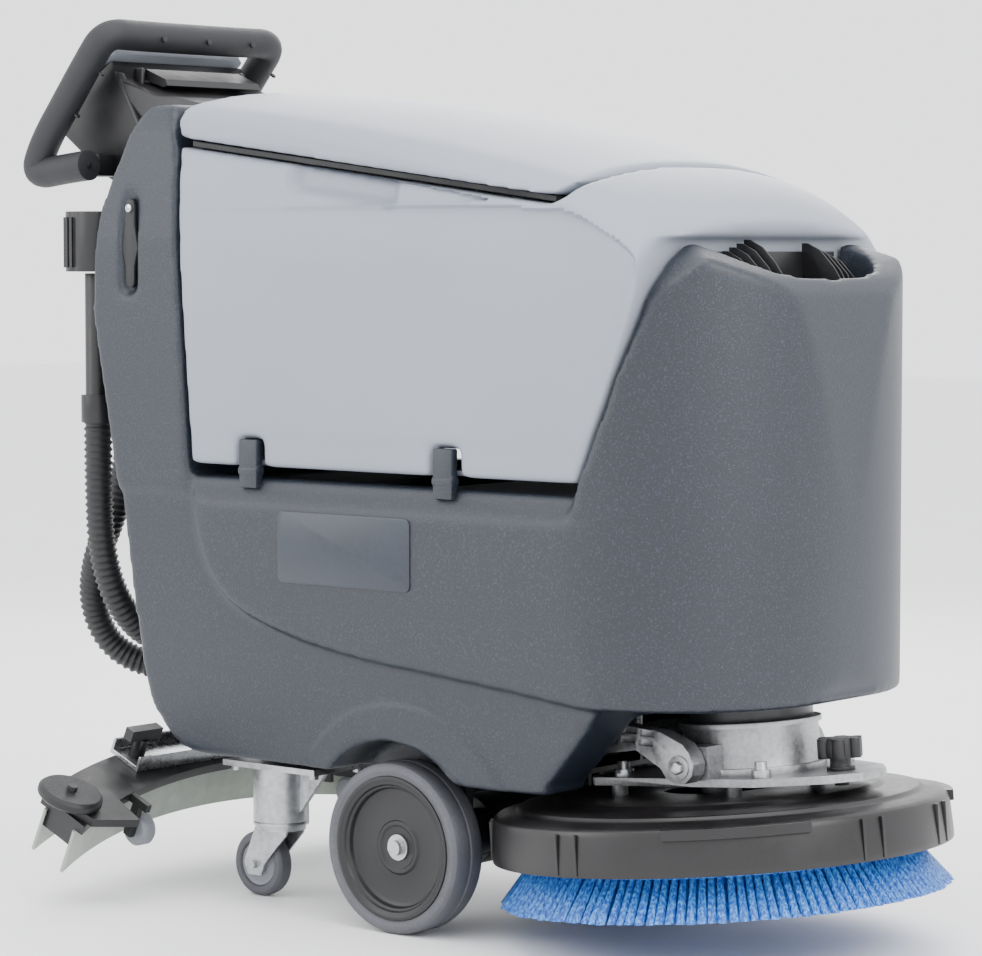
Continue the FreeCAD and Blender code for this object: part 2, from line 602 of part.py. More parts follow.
posts = [rod("post_%d_%d" % (i, j), 9, "plate_height - deck_depth - 6",
             (-80 + 160 * i, -80 + 160 * j, "deck_depth + 6")) for i in (0, 1) for j in (0, 1)]
deck_node("deck_plate", cut("deck_plate_cut", fuse("deck_plate_all", spindle_plate, *posts),
                            knob_hole, spindle_hole))
PLATE_TOP = "plate_height + plate_thickness"
# the arm's end pin, as seen from the tilted deck
TRUNNION_X = ("(arm_end - deck_centre) * cos(deck_tilt * 1deg)"
              " + (arm_end_height - deck_height) * sin(deck_tilt * 1deg)")
TRUNNION_Z = ("(arm_end_height - deck_height) * cos(deck_tilt * 1deg)"
              " - (arm_end - deck_centre) * sin(deck_tilt * 1deg)")
casting = fuse(
    "casting", rod("case_low", "motor_radius + 5", 52, ("motor_offset", 0, PLATE_TOP)),
    rod("case_rear", 48, 44, (0, 0, PLATE_TOP)),
    rod("case_flange", "motor_radius + 12", 8, ("motor_offset", 0, PLATE_TOP)),
    rod("case_rim", "motor_radius + 9", 6, ("motor_offset", 0, PLATE_TOP + " + 52")),
    *[box("ear_" + side, (44, "arm_offset - arm_width / 2 - 40", 36),
          (TRUNNION_X + " - 22", "39" if sign > 0 else "1 - arm_offset + arm_width / 2 ", PLATE_TOP))
      for side, sign in SIDES])
output = rod("output", 19.9, "plate_height - deck_depth + 46", (0, 0, "deck_depth - 30"))
trunnions = [rod("trunnion_" + side, "pin_radius - shaft_play", "arm_width + 8",
                 (TRUNNION_X, "arm_offset - arm_width / 2 - 6" if sign > 0
                  else "-arm_offset - arm_width / 2 - 2", TRUNNION_Z), "y")
             for side, sign in SIDES]
deck_node("gearbox_housing", casting, output, *trunnions)
can = fuse("can", rod("can_body", "motor_radius", "motor_top - plate_height - plate_thickness - 70",
                      ("motor_offset", 0, PLATE_TOP + " + 58")),
           rod("can_cap", "motor_radius - 8", 12, ("motor_offset", 0, "motor_top - 12")))
deck_node("brush_motor", can)
knob = fuse("knob", rod("knob_stud", 8, "plate_thickness + 40", (170, 0, "plate_height - 8")),
            rod("knob_washer", 16, 4, (170, 0, PLATE_TOP + " + 0.3")),
            rod("knob_neck", 12, 10, (170, 0, PLATE_TOP + " + 4")),
            rod("knob_disc", 20, 22, (170, 0, PLATE_TOP + " + 14")),
            *[rod("knob_lobe_%d" % i, 7, 22, (170 + 20 * math.cos(math.radians(60 * i)),
                                              20 * math.sin(math.radians(60 * i)), PLATE_TOP + " + 14"))
              for i in range(6)])
deck_node("star_knob", knob)
nuts = []
for index, (x, y) in enumerate(((-66, -88), (-66, 88), (120, -82), (120, 82))):
    nuts.append(rod("nut_%d" % index, 11, 9, (x, y, PLATE_TOP)))
    nuts.append(rod("nut_dome_%d" % index, 7, 9, (x, y, PLATE_TOP + " + 9")))
deck_node("deck_fasteners", fuse("deck_nuts", *nuts))

# ---- cast lift arm, hung between chassis and gearbox ------------------------------------------------
arm_side = [("arm_pivot - 16", "arm_pivot_height - 14"), ("arm_pivot + 10", "arm_pivot_height - 18"),
            ("arm_pivot + 100", "arm_pivot_height + 12"), ("arm_end - 60", "arm_end_height + 14"),
            ("arm_end - 22", "arm_end_height - 4"), ("arm_end - 12", "arm_end_height - 17"),
            ("arm_end + 12", "arm_end_height - 17"), ("arm_end + 20", "arm_end_height + 4"),
            ("arm_end + 4", "arm_end_height + 26"), ("arm_end - 26", "arm_end_height + 37"),
            ("arm_end - 90", "arm_end_height + 42"), ("arm_pivot + 104", "arm_pivot_height + 32"),
            ("arm_pivot + 4", "arm_pivot_height + 17"), ("arm_pivot - 16", "arm_pivot_height + 12")]
arms, bores = [], []
for side, sign in SIDES:
    low = "arm_offset * %d - arm_width / 2" % sign
    high = "arm_offset * %d + arm_width / 2" % sign
    arms.append(slab("arm_" + side, "XZ", arm_side, low, high))
    bores.append(rod("arm_bore_" + side, "pin_radius", "arm_width + 20", ("arm_pivot", low + " - 10",
                                                                         "arm_pivot_height"), "y"))
    bores.append(rod("arm_eye_" + side, "pin_radius", "arm_width + 20",
                     ("arm_end", low + " - 10", "arm_end_height"), "y"))
cross_tube = rod("cross_tube", 10, "2 * arm_offset - arm_width + 8",
                 ("arm_pivot + 88", "-arm_offset + arm_width / 2 - 4", "arm_pivot_height + 14"), "y")
node("deck_arm", cut("deck_arm_cut", fuse("deck_arm_body", cross_tube, *arms), *bores))
node("deck_actuator", fuse("actuator", rod("actuator_case", 22, 50, ("arm_pivot + 88", 0, 262)),
                           rod("actuator_nose", 15, 12, ("arm_pivot + 88", 0, 252))))
node("actuator_rod", fuse("actuator_bar", rod("actuator_bar_rod", 6, 14, ("arm_pivot + 88", 0, 237)),
                          rod("actuator_shoe", 12, 6, ("arm_pivot + 88", 0, 231.5))))

# ---- squeegee ---------------------------------------------------------------------------------------
# Drawn flat on the floor about the line where its blade plane meets the floor, then pitched up.


def squeegee_node(label, *pieces):
    whole = pieces[0] if len(pieces) == 1 else fuse(label + "_body", *pieces)
    return node(label, set_tilted(group(label + "_seat", whole), "squeegee_floor_line", 0, "squeegee_pitch"))


ARC = "((squeegee_half_width ^ 2 + squeegee_sweep ^ 2) / (2 * squeegee_sweep))"


def arc_strip(name, inner, outer, low, high, half_width="squeegee_half_width"):
    """A strip curved in plan: inner and outer are offsets from the squeegee's centre arc."""
    height = "(%s) - (%s)" % (high, low)
    at = (ARC + " - squeegee_reach", 0, low)
    curved = cut(name + "_curve", rod(name + "_outer", "%s + %s" % (ARC, outer), height, at),
                 rod(name + "_inner", "%s + %s" % (ARC, inner), height, at))
    window = box(name + "_window", ("2 * squeegee_sweep + 90", "2 * (%s)" % half_width, height),
                 ("-squeegee_reach - 60", "-(%s)" % half_width, low))
    return common(name, curved, window)


GRIP = "blade_gap / 2 - blade_thickness"
body_core = arc_strip("body_core", "-(%s) + 0.3" % GRIP, "%s - 0.3" % GRIP, "blade_height - 22",
                      "blade_height + 1", "squeegee_half_width - 4")
body_cap = arc_strip("body_cap", "-blade_gap / 2 - 9", "blade_gap / 2 + 9", "blade_height + 0.3",
                     "blade_height + 12", "squeegee_half_width - 4")
port = rod("port", "port_radius", 62, ("-squeegee_reach", 0, "blade_height + 6"))
port_bore = rod("port_bore", "port_radius - 4", 100, ("-squeegee_reach", 0, "blade_height - 30"))
end_plates, roller_arms = [], []
for side, sign in SIDES:
    end_plates.append(slab("end_plate_" + side, "XY", [
        ("squeegee_sweep - squeegee_reach - 30", "(squeegee_half_width - 2) * %d" % sign),
        ("squeegee_sweep - squeegee_reach + 40", "(squeegee_half_width - 14) * %d" % sign),
        ("squeegee_sweep - squeegee_reach + 56", "(squeegee_half_width - 76) * %d" % sign),
        ("squeegee_sweep - squeegee_reach - 50", "(squeegee_half_width - 92) * %d" % sign)],
        "blade_height + 12", "blade_height + 22"))
    roller_arms.append(box("roller_arm_" + side, (66, 8, 10), ("-squeegee_reach + 32", 212 * sign - 4,
                                                               "blade_height + 1")))
    roller_arms.append(box("roller_drop_" + side, (12, 8, "blade_height + 11 - roller_radius + 5"),
                           ("-squeegee_reach + 74", 212 * sign - 4, "roller_radius - 5")))
    roller_arms.append(rod("roller_axle_" + side, 4, 34, ("-squeegee_reach + 80", "%d" % (180 if sign > 0
                                                          else -214), "roller_radius + 1"), "y"))
body_all = fuse("squeegee_all", body_core, body_cap, port, *(end_plates + roller_arms))
bumper_pins = [rod("bumper_pin_" + side, 6, 30, ("squeegee_sweep - squeegee_reach - 8",
                                                 "(squeegee_half_width - 14) * %d" % sign, "blade_height + 12"))
               for side, sign in SIDES]
squeegee_node("squeegee_body", cut("squeegee_cut", fuse("squeegee_pinned", body_all, *bumper_pins), port_bore))
squeegee_node("squeegee_blades", group("blade_pair",
                                       arc_strip("front_strip", "-blade_gap / 2", "-(%s)" % GRIP, 0, "blade_height"),
                                       arc_strip("rear_strip", GRIP, "blade_gap / 2", 0, "blade_height")))
clamp_strip = box("clamp_strip", (52, 340, 6), ("-squeegee_reach - 26", -170, "blade_height + 12"))
clamp_hole = rod("clamp_hole", "port_radius + 0.5", 40, ("-squeegee_reach", 0, "blade_height"))
clamp_walls = [box("clamp_wall_%d" % i, (4, 340, 14), ("-squeegee_reach - 26 + %d" % (48 * i), -170,
                                                       "blade_height + 18")) for i in (0, 1)]
knob_spots = {side: (" -squeegee_reach", "150 * %d" % sign) for side, sign in SIDES}
knob_holes = [rod("wing_hole_" + side, 6.05, 60, knob_spots[side] + ("blade_height",)) for side, sign in SIDES]
squeegee_node("clamp_bar", cut("clamp_cut", fuse("clamp_all", clamp_strip, *clamp_walls), clamp_hole, *knob_holes))
for side, sign in SIDES:
    x, y = knob_spots[side]
    squeegee_node("wing_knob_" + side,
                  rod("wing_stud_" + side, 6, 44, (x, y, "blade_height + 12.3")),
                  rod("wing_neck_" + side, 10, 26, (x, y, "blade_height + 18.3")),
                  box("wing_bar_" + side, (14, 52, 15), (x + " - 7", y + " - 26", "blade_height + 44")))
    squeegee_node("bumper_disc_" + side, lathe("bumper_" + side, [
        ("6.05", "0"), ("bumper_radius - 4", "0"), ("bumper_radius", "4"), ("bumper_radius", "10"),
        ("bumper_radius - 4", "14"), ("6.05", "14")],
        ("squeegee_sweep - squeegee_reach - 8", "(squeegee_half_width - 14) * %d" % sign, "blade_height + 22.3")))
    squeegee_node("support_roller_" + side, lathe("roller_" + side, [
        ("4.05", "-11"), ("roller_radius - 3", "-11"), ("roller_radius", "-7"), ("roller_radius", "7"),
        ("roller_radius - 3", "11"), ("4.05", "11")],
        ("-squeegee_reach + 80", "195 * %d" % sign, "roller_radius + 1"), "y"))
ARM_PIN = "-squeegee_pivot_height * tan(squeegee_pitch / 2 * 1deg)"
arm_eye = rod("arm_eye", "port_radius + 12", 12, ("-squeegee_reach", 0, "blade_height + 34"))
arm_beam = slab("arm_beam", "XZ", [
    ("-squeegee_reach + 10", "blade_height + 34"), (ARM_PIN + " + 4", "squeegee_pivot_height - 15"),
    (ARM_PIN + " + 15", "squeegee_pivot_height"), (ARM_PIN + " + 4", "squeegee_pivot_height + 14"),
    (ARM_PIN + " - 14", "squeegee_pivot_height + 10"), ("-squeegee_reach + 30", "blade_height + 50"),
    ("-squeegee_reach + 10", "blade_height + 46")], "-19", "19")
arm_pin_hole = rod("arm_pin_hole", "pin_radius", 60, (ARM_PIN, -30, "squeegee_pivot_height"), "y")
arm_eye_hole = rod("arm_eye_hole", "port_radius + shaft_play", 60, ("-squeegee_reach", 0, "blade_height + 10"))
squeegee_node("squeegee_arm", cut("squeegee_arm_cut", fuse("squeegee_arm_body", arm_eye, arm_beam),
                                  arm_pin_hole, arm_eye_hole))

# ---- recovery tank and lid -------------------------------------------------------------------------
TANK_SIDE = [
    ("bay_rear + tank_gap", "tank_bottom", 1, 1), ("bay_rear - 30 + tank_gap", "seam_rear - 12", 1, -1),
    ("bay_rear - 31 + tank_gap", "seam_rear - 4", 1, -1), ("lid_front", "seam_front - 4", 0, -1),
    ("lid_front + 23", "seam_front + 16", 1, -1), ("lid_front + 32", "seam_front + 44", 1, -1),
    ("lid_front + 90", "seam_front + 22", -1, -1), ("bay_front + 78", "seam_front - 14", -1, -1),
    ("bay_front + 92", "hood_top + 6", -1, 0), ("bay_front + 80 - tank_gap", "hood_top + 4", -1, 1),
    ("bay_front + 76 - tank_gap", "hood_top - 57", -1, 0), ("bay_front + 9 - tank_gap", "ledge_height + 42", -1, 0),
    ("bay_front - tank_gap", "tank_bottom", -1, 1)]
CROWN = [("tank_half_width", "tank_bottom - 1", -1, 0), ("tank_half_width - 1", "tank_bottom + 190", -1, 0),
         ("tank_half_width - 7", "seam_front - 20", -1, 0), ("tank_half_width - 18", "seam_rear - 4", -1, 0),
         ("tank_half_width - 26", "seam_rear + 30", -1, -1), ("tank_half_width - 52", "seam_rear + 56", -1, -1),
         ("tank_half_width - 110", "seam_rear + 66", 0, -1)]
# the lid's underside is left open, so its inner outline runs on below it
LID_SIDE = [
    ("bay_rear - 31 + tank_gap", "seam_rear + lid_gap - 4", 1, -3), ("lid_front - 2", "seam_front + lid_gap - 4", 0, -3),
    ("lid_front + 16", "seam_front + lid_gap + 12", -1, -1), ("lid_front + 24", "lid_front_top - 26", -1, 0),
    ("lid_front - 30", "lid_front_top - 6", -1, -1), ("lid_front - 90", "lid_front_top + 16", 0, -1),
    ("lid_front - 240", "lid_front_top + 46", 0, -1), ("bay_rear + 120", "lid_rear_top + 6", 0, -1),
    ("bay_rear - 43 + tank_gap + 12", "lid_rear_top + 6", 1, -1),
    ("bay_rear - 43 + tank_gap + 2", "lid_rear_top - 4", 1, -1)]


def crowned(tag, side, by):
    """A side outline carried across the tank's rounded top, drawn in by that much."""
    return common("crowned_" + tag, slab("side_" + tag, "XZ", inset(side, by), "-tank_half_width", "tank_half_width"),
                  slab("crown_" + tag, "YZ", both_sides(inset(CROWN, by), 0), "bay_rear - 60", "hood_front"))


def side_pockets(tag, by):
    """Hand grip and hinge notches in the near side, grown by that much."""
    return [box("grip_slot_" + tag, ("116 + 2 * (%s)" % by, "24 + %s" % by, "22 + 2 * (%s)" % by),
                ("-138 - (%s)" % by, "-tank_half_width - 2", "seam_rear - 60 - (%s)" % by))] + [
        box("tip_notch_%d_%s" % (i, tag), ("44 + 2 * (%s)" % by, "16 + %s" % by, "34 + %s" % by),
            ("%d - (%s)" % (300 * i - 214, by), "-tank_half_width - 2", "tank_bottom - 2")) for i in (0, 1)]


dirty_room = cut("dirty_room", crowned("tank_in", TANK_SIDE, "wall"), *side_pockets("in", "wall"))
lid_opening = box("lid_opening", ("lid_front - bay_rear - 60", "2 * tank_half_width - 100", 140),
                  ("bay_rear + 26", "50 - tank_half_width", "seam_front - 30"))
node("recovery_tank", cut("recovery_cut", crowned("tank_out", TANK_SIDE, "0"), dirty_room, lid_opening,
                          *side_pockets("out", "0")))
node("tank_lid", cut("tank_lid_cut", crowned("lid_out", LID_SIDE, "0"), crowned("lid_in", LID_SIDE, "wall")))
# the gasket hangs from the lid's rim and closes the gap round the opening
SEAM_UP = "(seam_rear - seam_front) / (lid_front - bay_rear + 31 - tank_gap)"
gasket_strip = slab("gasket_strip", "XZ", [
    ("bay_rear - 14", "seam_rear - 3.7 - 13 * %s" % SEAM_UP), ("lid_front - 14", "seam_front - 3.7 + 14 * %s" % SEAM_UP),
    ("lid_front - 14", "seam_front - 4.3 + lid_gap + 14 * %s" % SEAM_UP),
    ("bay_rear - 14", "seam_rear - 4.3 + lid_gap - 13 * %s" % SEAM_UP)], "28 - tank_half_width", "tank_half_width - 28")
gasket_opening = box("gasket_opening", ("lid_front - bay_rear - 24", "2 * tank_half_width - 80", 160),
                     ("bay_rear - 2", "40 - tank_half_width", "seam_front - 30"))
node("lid_gasket", cut("gasket_cut", gasket_strip, gasket_opening))
tip_pins = fuse("tip_pins", *[rod("tip_pin_%d" % i, "tip_pin_radius", "tip_pin_length",
                                  (-209 + 300 * i, "7 - tank_half_width", "tank_bottom + 12"), "x")
                              for i in (0, 1)],
                *[box("tip_post_%d" % i, (26, 12, 18), (-205 + 300 * i, "1 - tank_half_width",
                                                        "ledge_height")) for i in (0, 1)])
node("tip_hinge_lugs", tip_pins)
node("vacuum_motor", fuse("suction_fan", rod("fan_case", 62, 70, ("bay_rear + 110", 80, "tank_bottom + 230")),
                          rod("fan_motor", 42, 60, ("bay_rear + 110", 80, "tank_bottom + 300"))))
node("float_cage", cut("cage", rod("cage_body", 34, 90, ("bay_rear + 120", -90, "tank_bottom + 240")),
                       rod("cage_inside", 30, 82, ("bay_rear + 120", -90, "tank_bottom + 236")),
                       *[box("cage_slot_%d" % i, (80, 8, 50), ("bay_rear + 80", -112 + 18 * i, "tank_bottom + 250"))
                         for i in range(3)]))
batteries = [box("battery_%d_%d" % (i, j), (156, 186, 232), (-256 + 162 * i, -188 + 190 * j, "body_bottom + 50.5"))
             for i in (0, 1) for j in (0, 1)]
node("batteries", group("battery_set", *batteries))
node("control_box", box("control_case", (160, 150, 24), (-180, -75, "body_bottom + 290")))

# ---- handlebar and console -------------------------------------------------------------------------
low_x, low_z = value("bar_low_x"), value("bar_low")
HOOK = [(low_x + 76, -1, low_z - 12), (low_x - 22, -1, low_z - 18), (value("bar_x"), -1, value("bar_top"))]
bar_half = value("bar_half_width")
loop_points = [(x, -bar_half, z) for x, y, z in HOOK] + [(x, bar_half, z) for x, y, z in reversed(HOOK)]
BAR_BENDS = [22, 62, 62, 22]
bar_wall = value("bar_wall")
loop = tube("handlebar", loop_points, value("bar_radius"), BAR_BENDS).cut(
    tube("handlebar bore", loop_points, value("bar_radius") - bar_wall, BAR_BENDS))
for y in (-bar_half, bar_half):
    loop = loop.fuse(Part.makeCylinder(value("bar_radius"), bar_wall, FreeCAD.Vector(low_x + 76 - bar_wall, y, low_z - 12),
                                       FreeCAD.Vector(HOOK[0][0] - HOOK[1][0], 0, HOOK[0][2] - HOOK[1][2])))
free_shape("handlebar", loop)
CONSOLE_SIDE = [
    ("-546", "1026", 0, -2), ("-648", "963", 2, 0), ("-640", "932", 1, 0), ("-585", "884", 1, 1), ("-530", "852", 1, 1),
    ("column_rear + 8", "838", -1, 1), ("column_rear + 9", "column_top - 118", -1, 0),
    ("column_rear + 55", "column_top - 20", -1, 0), ("column_rear + 70", "column_top + 1", -1, 0),
    ("column_rear + 60", "column_top + 8", 0, -1), ("-420", "974", 0, -1), ("-470", "980", 0, -1),
    ("-530", "1001", 0, -1)]
console_core = cut("console_core", slab("console_skin", "XZ", inset(CONSOLE_SIDE, "0"), "-console_half_width",
                                        "console_half_width"),
                   slab("console_room", "XZ", inset(CONSOLE_SIDE, "wall"), "wall - console_half_width",
                        "console_half_width - wall"))
grips = [box("grip_lug_" + side, (44, "bar_half_width - bar_radius - console_half_width + 3.8", 30),
             ("bar_low_x + 32", "console_half_width - 4" if sign > 0 else "0.2 + bar_radius - bar_half_width",
              "bar_low - 27")) for side, sign in SIDES]
paddle_lugs = [box("paddle_lug_" + side, (16, 8, 52), ("bar_x - 14", "%d * (paddle_half_width + 6) - 4" % sign,
                                                      "bar_top - 88")) for side, sign in SIDES]
paddle_pin = rod("paddle_pin", 4, "2 * paddle_half_width + 16",
                 ("bar_x - 6", "-paddle_half_width - 8", "bar_top - 44"), "y")
node("console_body", fuse("console_all", console_core, paddle_pin, *(grips + paddle_lugs)))


# ---- hoses at the back -----------------------------------------------------------------------------
# The drain hose hangs from its plug, turns up at the bottom and ends in the tank's rear port.
DRAIN_ROUTE = [(-489, -200, 575), (-489, -200, 490), (-488, -196, 410), (-484, -172, 345), (-480, -122, 300),
               (-474, -62, 300), (-466, -8, 342), (-462, 16, 402), (-461, 20, 452), (-447, 20, 492),
               (-405, 20, 503)]
# The suction hose climbs from the squeegee's port, swings out behind the column and up to its elbow.
SUCTION_ROUTE = [(-456.7, 0, 201.5), (-441.8, 0, 235), (-472, -28, 264), (-530, -62, 254), (-578, -92, 278),
                 (-592, -114, 332), (-572, -128, 394), (-530, -136, 452), (-498, -140, 525), (-486, -140, 610),
                 (-485, -140, 700), (-485, -140, 771)]
hose_radius = value("hose_radius")
free_shape("drain_hose", tube("drain_hose", DRAIN_ROUTE, hose_radius))
free_shape("suction_hose", tube("suction_hose", SUCTION_ROUTE, hose_radius))
drain_fitting = fuse("drain_fitting", rod("drain_cuff", "hose_radius + 2.5", 34, ("drain_x", "drain_y", 575.3)),
                     rod("drain_pipe", "hose_radius - 3", 150, ("drain_x", "drain_y", 609)),
                     box("pipe_clip", (33, 12, 24), ("drain_x", "drain_y - 6", 664)))
suction_elbow = fuse("suction_elbow", rod("elbow_in", "hose_radius + 3", 26, (-485, -140, 771.3)),
                     rod("elbow_through", "hose_radius + 6", 50, (-509, -140, 808), "x"))
node("hose_fittings", group("fittings", drain_fitting, suction_elbow))
plug_ribs = [box("plug_rib_%d" % i, (4, 4, 62),
                 ("drain_x - 18 + %.3f" % (27 * math.cos(math.radians(turn))),
                  "drain_y - 2 + %.3f" % (27 * math.sin(math.radians(turn))), 766))
             for i, turn in enumerate(range(90, 271, 20))]
node("drain_plug", fuse("plug", rod("plug_cap", 27, 74, ("drain_x - 16", "drain_y", 761)),
                        rod("plug_body", 29, 74, ("drain_x", "drain_y", 761)), *plug_ribs))
straps = []
for side, sign in SIDES:
    straps.append(box("strap_" + side, (16, 7, 112), ("column_rear + 51", "column_half_width + 3" if sign > 0
                                                      else "-column_half_width - 10", "column_top - 224")))
    straps.append(taper("strap_pad_" + side, 15, 11, 6.5, ("column_rear + 59", "column_half_width + 3.2"
                                                        if sign > 0 else "-column_half_width - 9.7",
                                                        "column_top - 168"), "y"))
node("strap_latches", fuse("strap_pair", *straps))


# The control panel is drawn flat about its own middle, then leaned back to face the operator.
def panel_node(label, *pieces):
    whole = pieces[0] if len(pieces) == 1 else fuse(label + "_body", *pieces)
    return node(label, set_tilted(group(label + "_seat", whole), "panel_x", "panel_height", "-panel_lean"))


panel_plate = box("panel_plate", ("panel_length", "2 * console_half_width + 6", 10),
                  ("-panel_length / 2", "-console_half_width - 3", 0))
screen_recess = box("screen_recess", (52, 92, 20), (6, -46, 4))
button_spots = [(-30, -62), (-30, -22), (-30, 18)]
button_holes = [rod("button_hole_%d" % i, 11.4, 20, (x, y, 3)) for i, (x, y) in enumerate(button_spots)]
dial_hole = rod("dial_hole", 6.05, 20, (-28, 70, 3))
key_hole = rod("key_hole", 9.05, 20, (30, 84, 3))
panel_node("console_panel", cut("panel_cut", panel_plate, screen_recess, dial_hole, key_hole, *button_holes))
panel_node("display_screen", box("screen", (51, 91, 5), (6.5, -45.5, 4.2)))
for index, (x, y) in enumerate(button_spots):
    panel_node("button_%d" % (index + 1), rod("button_cap_%d" % index, 11, 6, (x, y, "3.2 + button_travel")))
panel_node("speed_dial", rod("dial_stem", 6, 9, (-28, 70, 3.3)), rod("dial_cap", 17, 14, (-28, 70, 10.6)),
           box("dial_mark", (16, 3, 16), (-28, 68.5, 10.6)))
panel_node("key_switch", rod("key_barrel", 9, 11, (30, 84, 3.3)), box("key_bow", (4, 16, 20), (28, 76, 12)))
PADDLE_X, PADDLE_Z = "bar_x - 6", "bar_top - 44"
paddle = slab("paddle", "XZ", [(PADDLE_X + " - 4", PADDLE_Z + " + 6"), (PADDLE_X + " + 5", PADDLE_Z + " + 6"),
                               (PADDLE_X + " + 40", PADDLE_Z + " - 8"), (PADDLE_X + " + 44", PADDLE_Z + " - 16"),
                               (PADDLE_X + " + 36", PADDLE_Z + " - 18"), (PADDLE_X, PADDLE_Z + " - 7")],
              "-paddle_half_width", "paddle_half_width")
paddle_hole = rod("paddle_hole", 4.05, "2 * paddle_half_width + 20", (PADDLE_X, "-paddle_half_width - 10", PADDLE_Z), "y")
node("drive_paddle", cut("paddle_cut", paddle, paddle_hole))


# ---- checks and export -----------------------------------------------------------------------------
doc.recompute()
for thing in doc.Objects:
    if any(state in ("Invalid", "Error") for state in thing.State):
        raise RuntimeError("%s did not recompute: %s" % (thing.Label, thing.State))
for thing in NODES:
    if thing.Shape.isNull() or not thing.Shape.isValid() or not thing.Shape.Solids:
        raise RuntimeError("%s has no valid solid" % thing.Label)
os.makedirs("parts", exist_ok=True)
for thing in NODES:
    thing.Shape.exportStep(os.path.join("parts", thing.Label + ".step"))
whole = FreeCAD.BoundBox()
for thing in NODES:
    whole.add(thing.Shape.BoundBox)
print(len(NODES), "sub-parts;", whole)
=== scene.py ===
import math
import random
import bpy
import bmesh
from mathutils import Matrix


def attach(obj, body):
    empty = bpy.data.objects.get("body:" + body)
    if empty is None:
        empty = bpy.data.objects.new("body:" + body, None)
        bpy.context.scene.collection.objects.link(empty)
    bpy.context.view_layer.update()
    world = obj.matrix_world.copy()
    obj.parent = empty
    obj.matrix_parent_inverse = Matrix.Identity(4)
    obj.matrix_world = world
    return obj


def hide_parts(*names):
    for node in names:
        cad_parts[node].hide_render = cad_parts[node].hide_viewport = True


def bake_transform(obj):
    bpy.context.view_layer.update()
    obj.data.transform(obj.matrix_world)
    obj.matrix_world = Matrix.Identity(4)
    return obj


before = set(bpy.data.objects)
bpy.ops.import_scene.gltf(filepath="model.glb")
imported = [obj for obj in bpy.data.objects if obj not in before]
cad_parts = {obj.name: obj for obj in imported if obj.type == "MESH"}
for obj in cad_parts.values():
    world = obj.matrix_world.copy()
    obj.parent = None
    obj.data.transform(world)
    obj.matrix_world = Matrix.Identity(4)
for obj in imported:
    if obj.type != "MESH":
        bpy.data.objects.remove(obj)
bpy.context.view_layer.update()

# ---- studio ----------------------------------------------------------------------------------------
# A wide flat pale floor under an even pale sky, lit by broad soft lamps, with the camera low at the
# machine's near front quarter.
bpy.ops.object.select_all(action="DESELECT")
camera_data = bpy.data.cameras.new("camera")
camera = bpy.data.objects.new("camera", camera_data)
bpy.context.scene.collection.objects.link(camera)
bpy.context.scene.camera = camera
camera_data.sensor_width = 36
camera_data.lens = 127.9
camera_data.clip_end = 30
camera.location = (2.6746, -3.2037, 0.7889)
camera.rotation_euler = (math.radians(90 - 3.757), 0, math.radians(39.717))


def linear(hex_colour):
    """A colour written as on screen, as the light values that shaders work with."""
    parts = [int(hex_colour[i:i + 2], 16) / 255 for i in (1, 3, 5)]
    return tuple(c / 12.92 if c <= 0.04045 else ((c + 0.055) / 1.055) ** 2.4 for c in parts) + (1.0,)


def finish(name, colour, roughness, metallic=0.0):
    """A new material: its node tree and its main shader, with one even colour to start from."""
    material = bpy.data.materials.new(name)
    material.use_nodes = True
    shader = material.node_tree.nodes["Principled BSDF"]
    shader.inputs["Base Color"].default_value = linear(colour)
    shader.inputs["Roughness"].default_value = roughness
    shader.inputs["Metallic"].default_value = metallic
    return material, material.node_tree, shader


def add(tree, kind, links=(), **values):
    """One shader node, with its settings and with wires from other nodes' sockets to its inputs."""
    node = tree.nodes.new(kind)
    for key, value in values.items():
        if hasattr(node, key):
            setattr(node, key, value)
        else:
            node.inputs[key.replace("_", " ")].default_value = value
    for socket, source in links:
        tree.links.new(source, node.inputs[socket])
    return node


bpy.ops.mesh.primitive_plane_add(size=30, location=(0, 0, 0))
floor = bpy.context.object
floor.name = "studio_floor"
floor_paint, tree, shader = finish("studio_floor_paint", "#f4f4f5", 0.65)
place = add(tree, "ShaderNodeTexCoord")
mottle = add(tree, "ShaderNodeTexNoise", [("Vector", place.outputs["Object"])], Scale=3.0, Detail=3.0)
shade = add(tree, "ShaderNodeMix", [("Factor", mottle.outputs["Fac"])], data_type="RGBA")
shade.inputs["A"].default_value = linear("#f2f2f3")
shade.inputs["B"].default_value = linear("#f8f8f8")
tree.links.new(shade.outputs["Result"], shader.inputs["Base Color"])
floor.data.materials.append(floor_paint)

world = bpy.data.worlds.new("studio_air")
bpy.context.scene.world = world
world.use_nodes = True
world.node_tree.nodes["Background"].inputs["Color"].default_value = linear("#f7f8fa")
world.node_tree.nodes["Background"].inputs["Strength"].default_value = 2.3
for name, spot, size, power in (("lamp_over", (0.4, -0.6, 3.2), 2.6, 60), ("lamp_front", (2.6, -0.6, 1.9), 1.3, 46),
                                ("lamp_left", (-1.9, -2.6, 1.7), 1.6, 30), ("lamp_rim", (-1.6, 2.4, 2.2), 1.8, 55)):
    lamp_data = bpy.data.lights.new(name, "AREA")
    lamp_data.size = size
    lamp_data.energy = power
    lamp = bpy.data.objects.new(name, lamp_data)
    bpy.context.scene.collection.objects.link(lamp)
    lamp.location = spot
    reach = [t - s for t, s in zip((0.05, 0.0, 0.5), spot)]
    flat = math.hypot(reach[0], reach[1])
    lamp.rotation_euler = (math.atan2(flat, -reach[2]), 0, math.atan2(reach[1], reach[0]) - math.pi / 2)

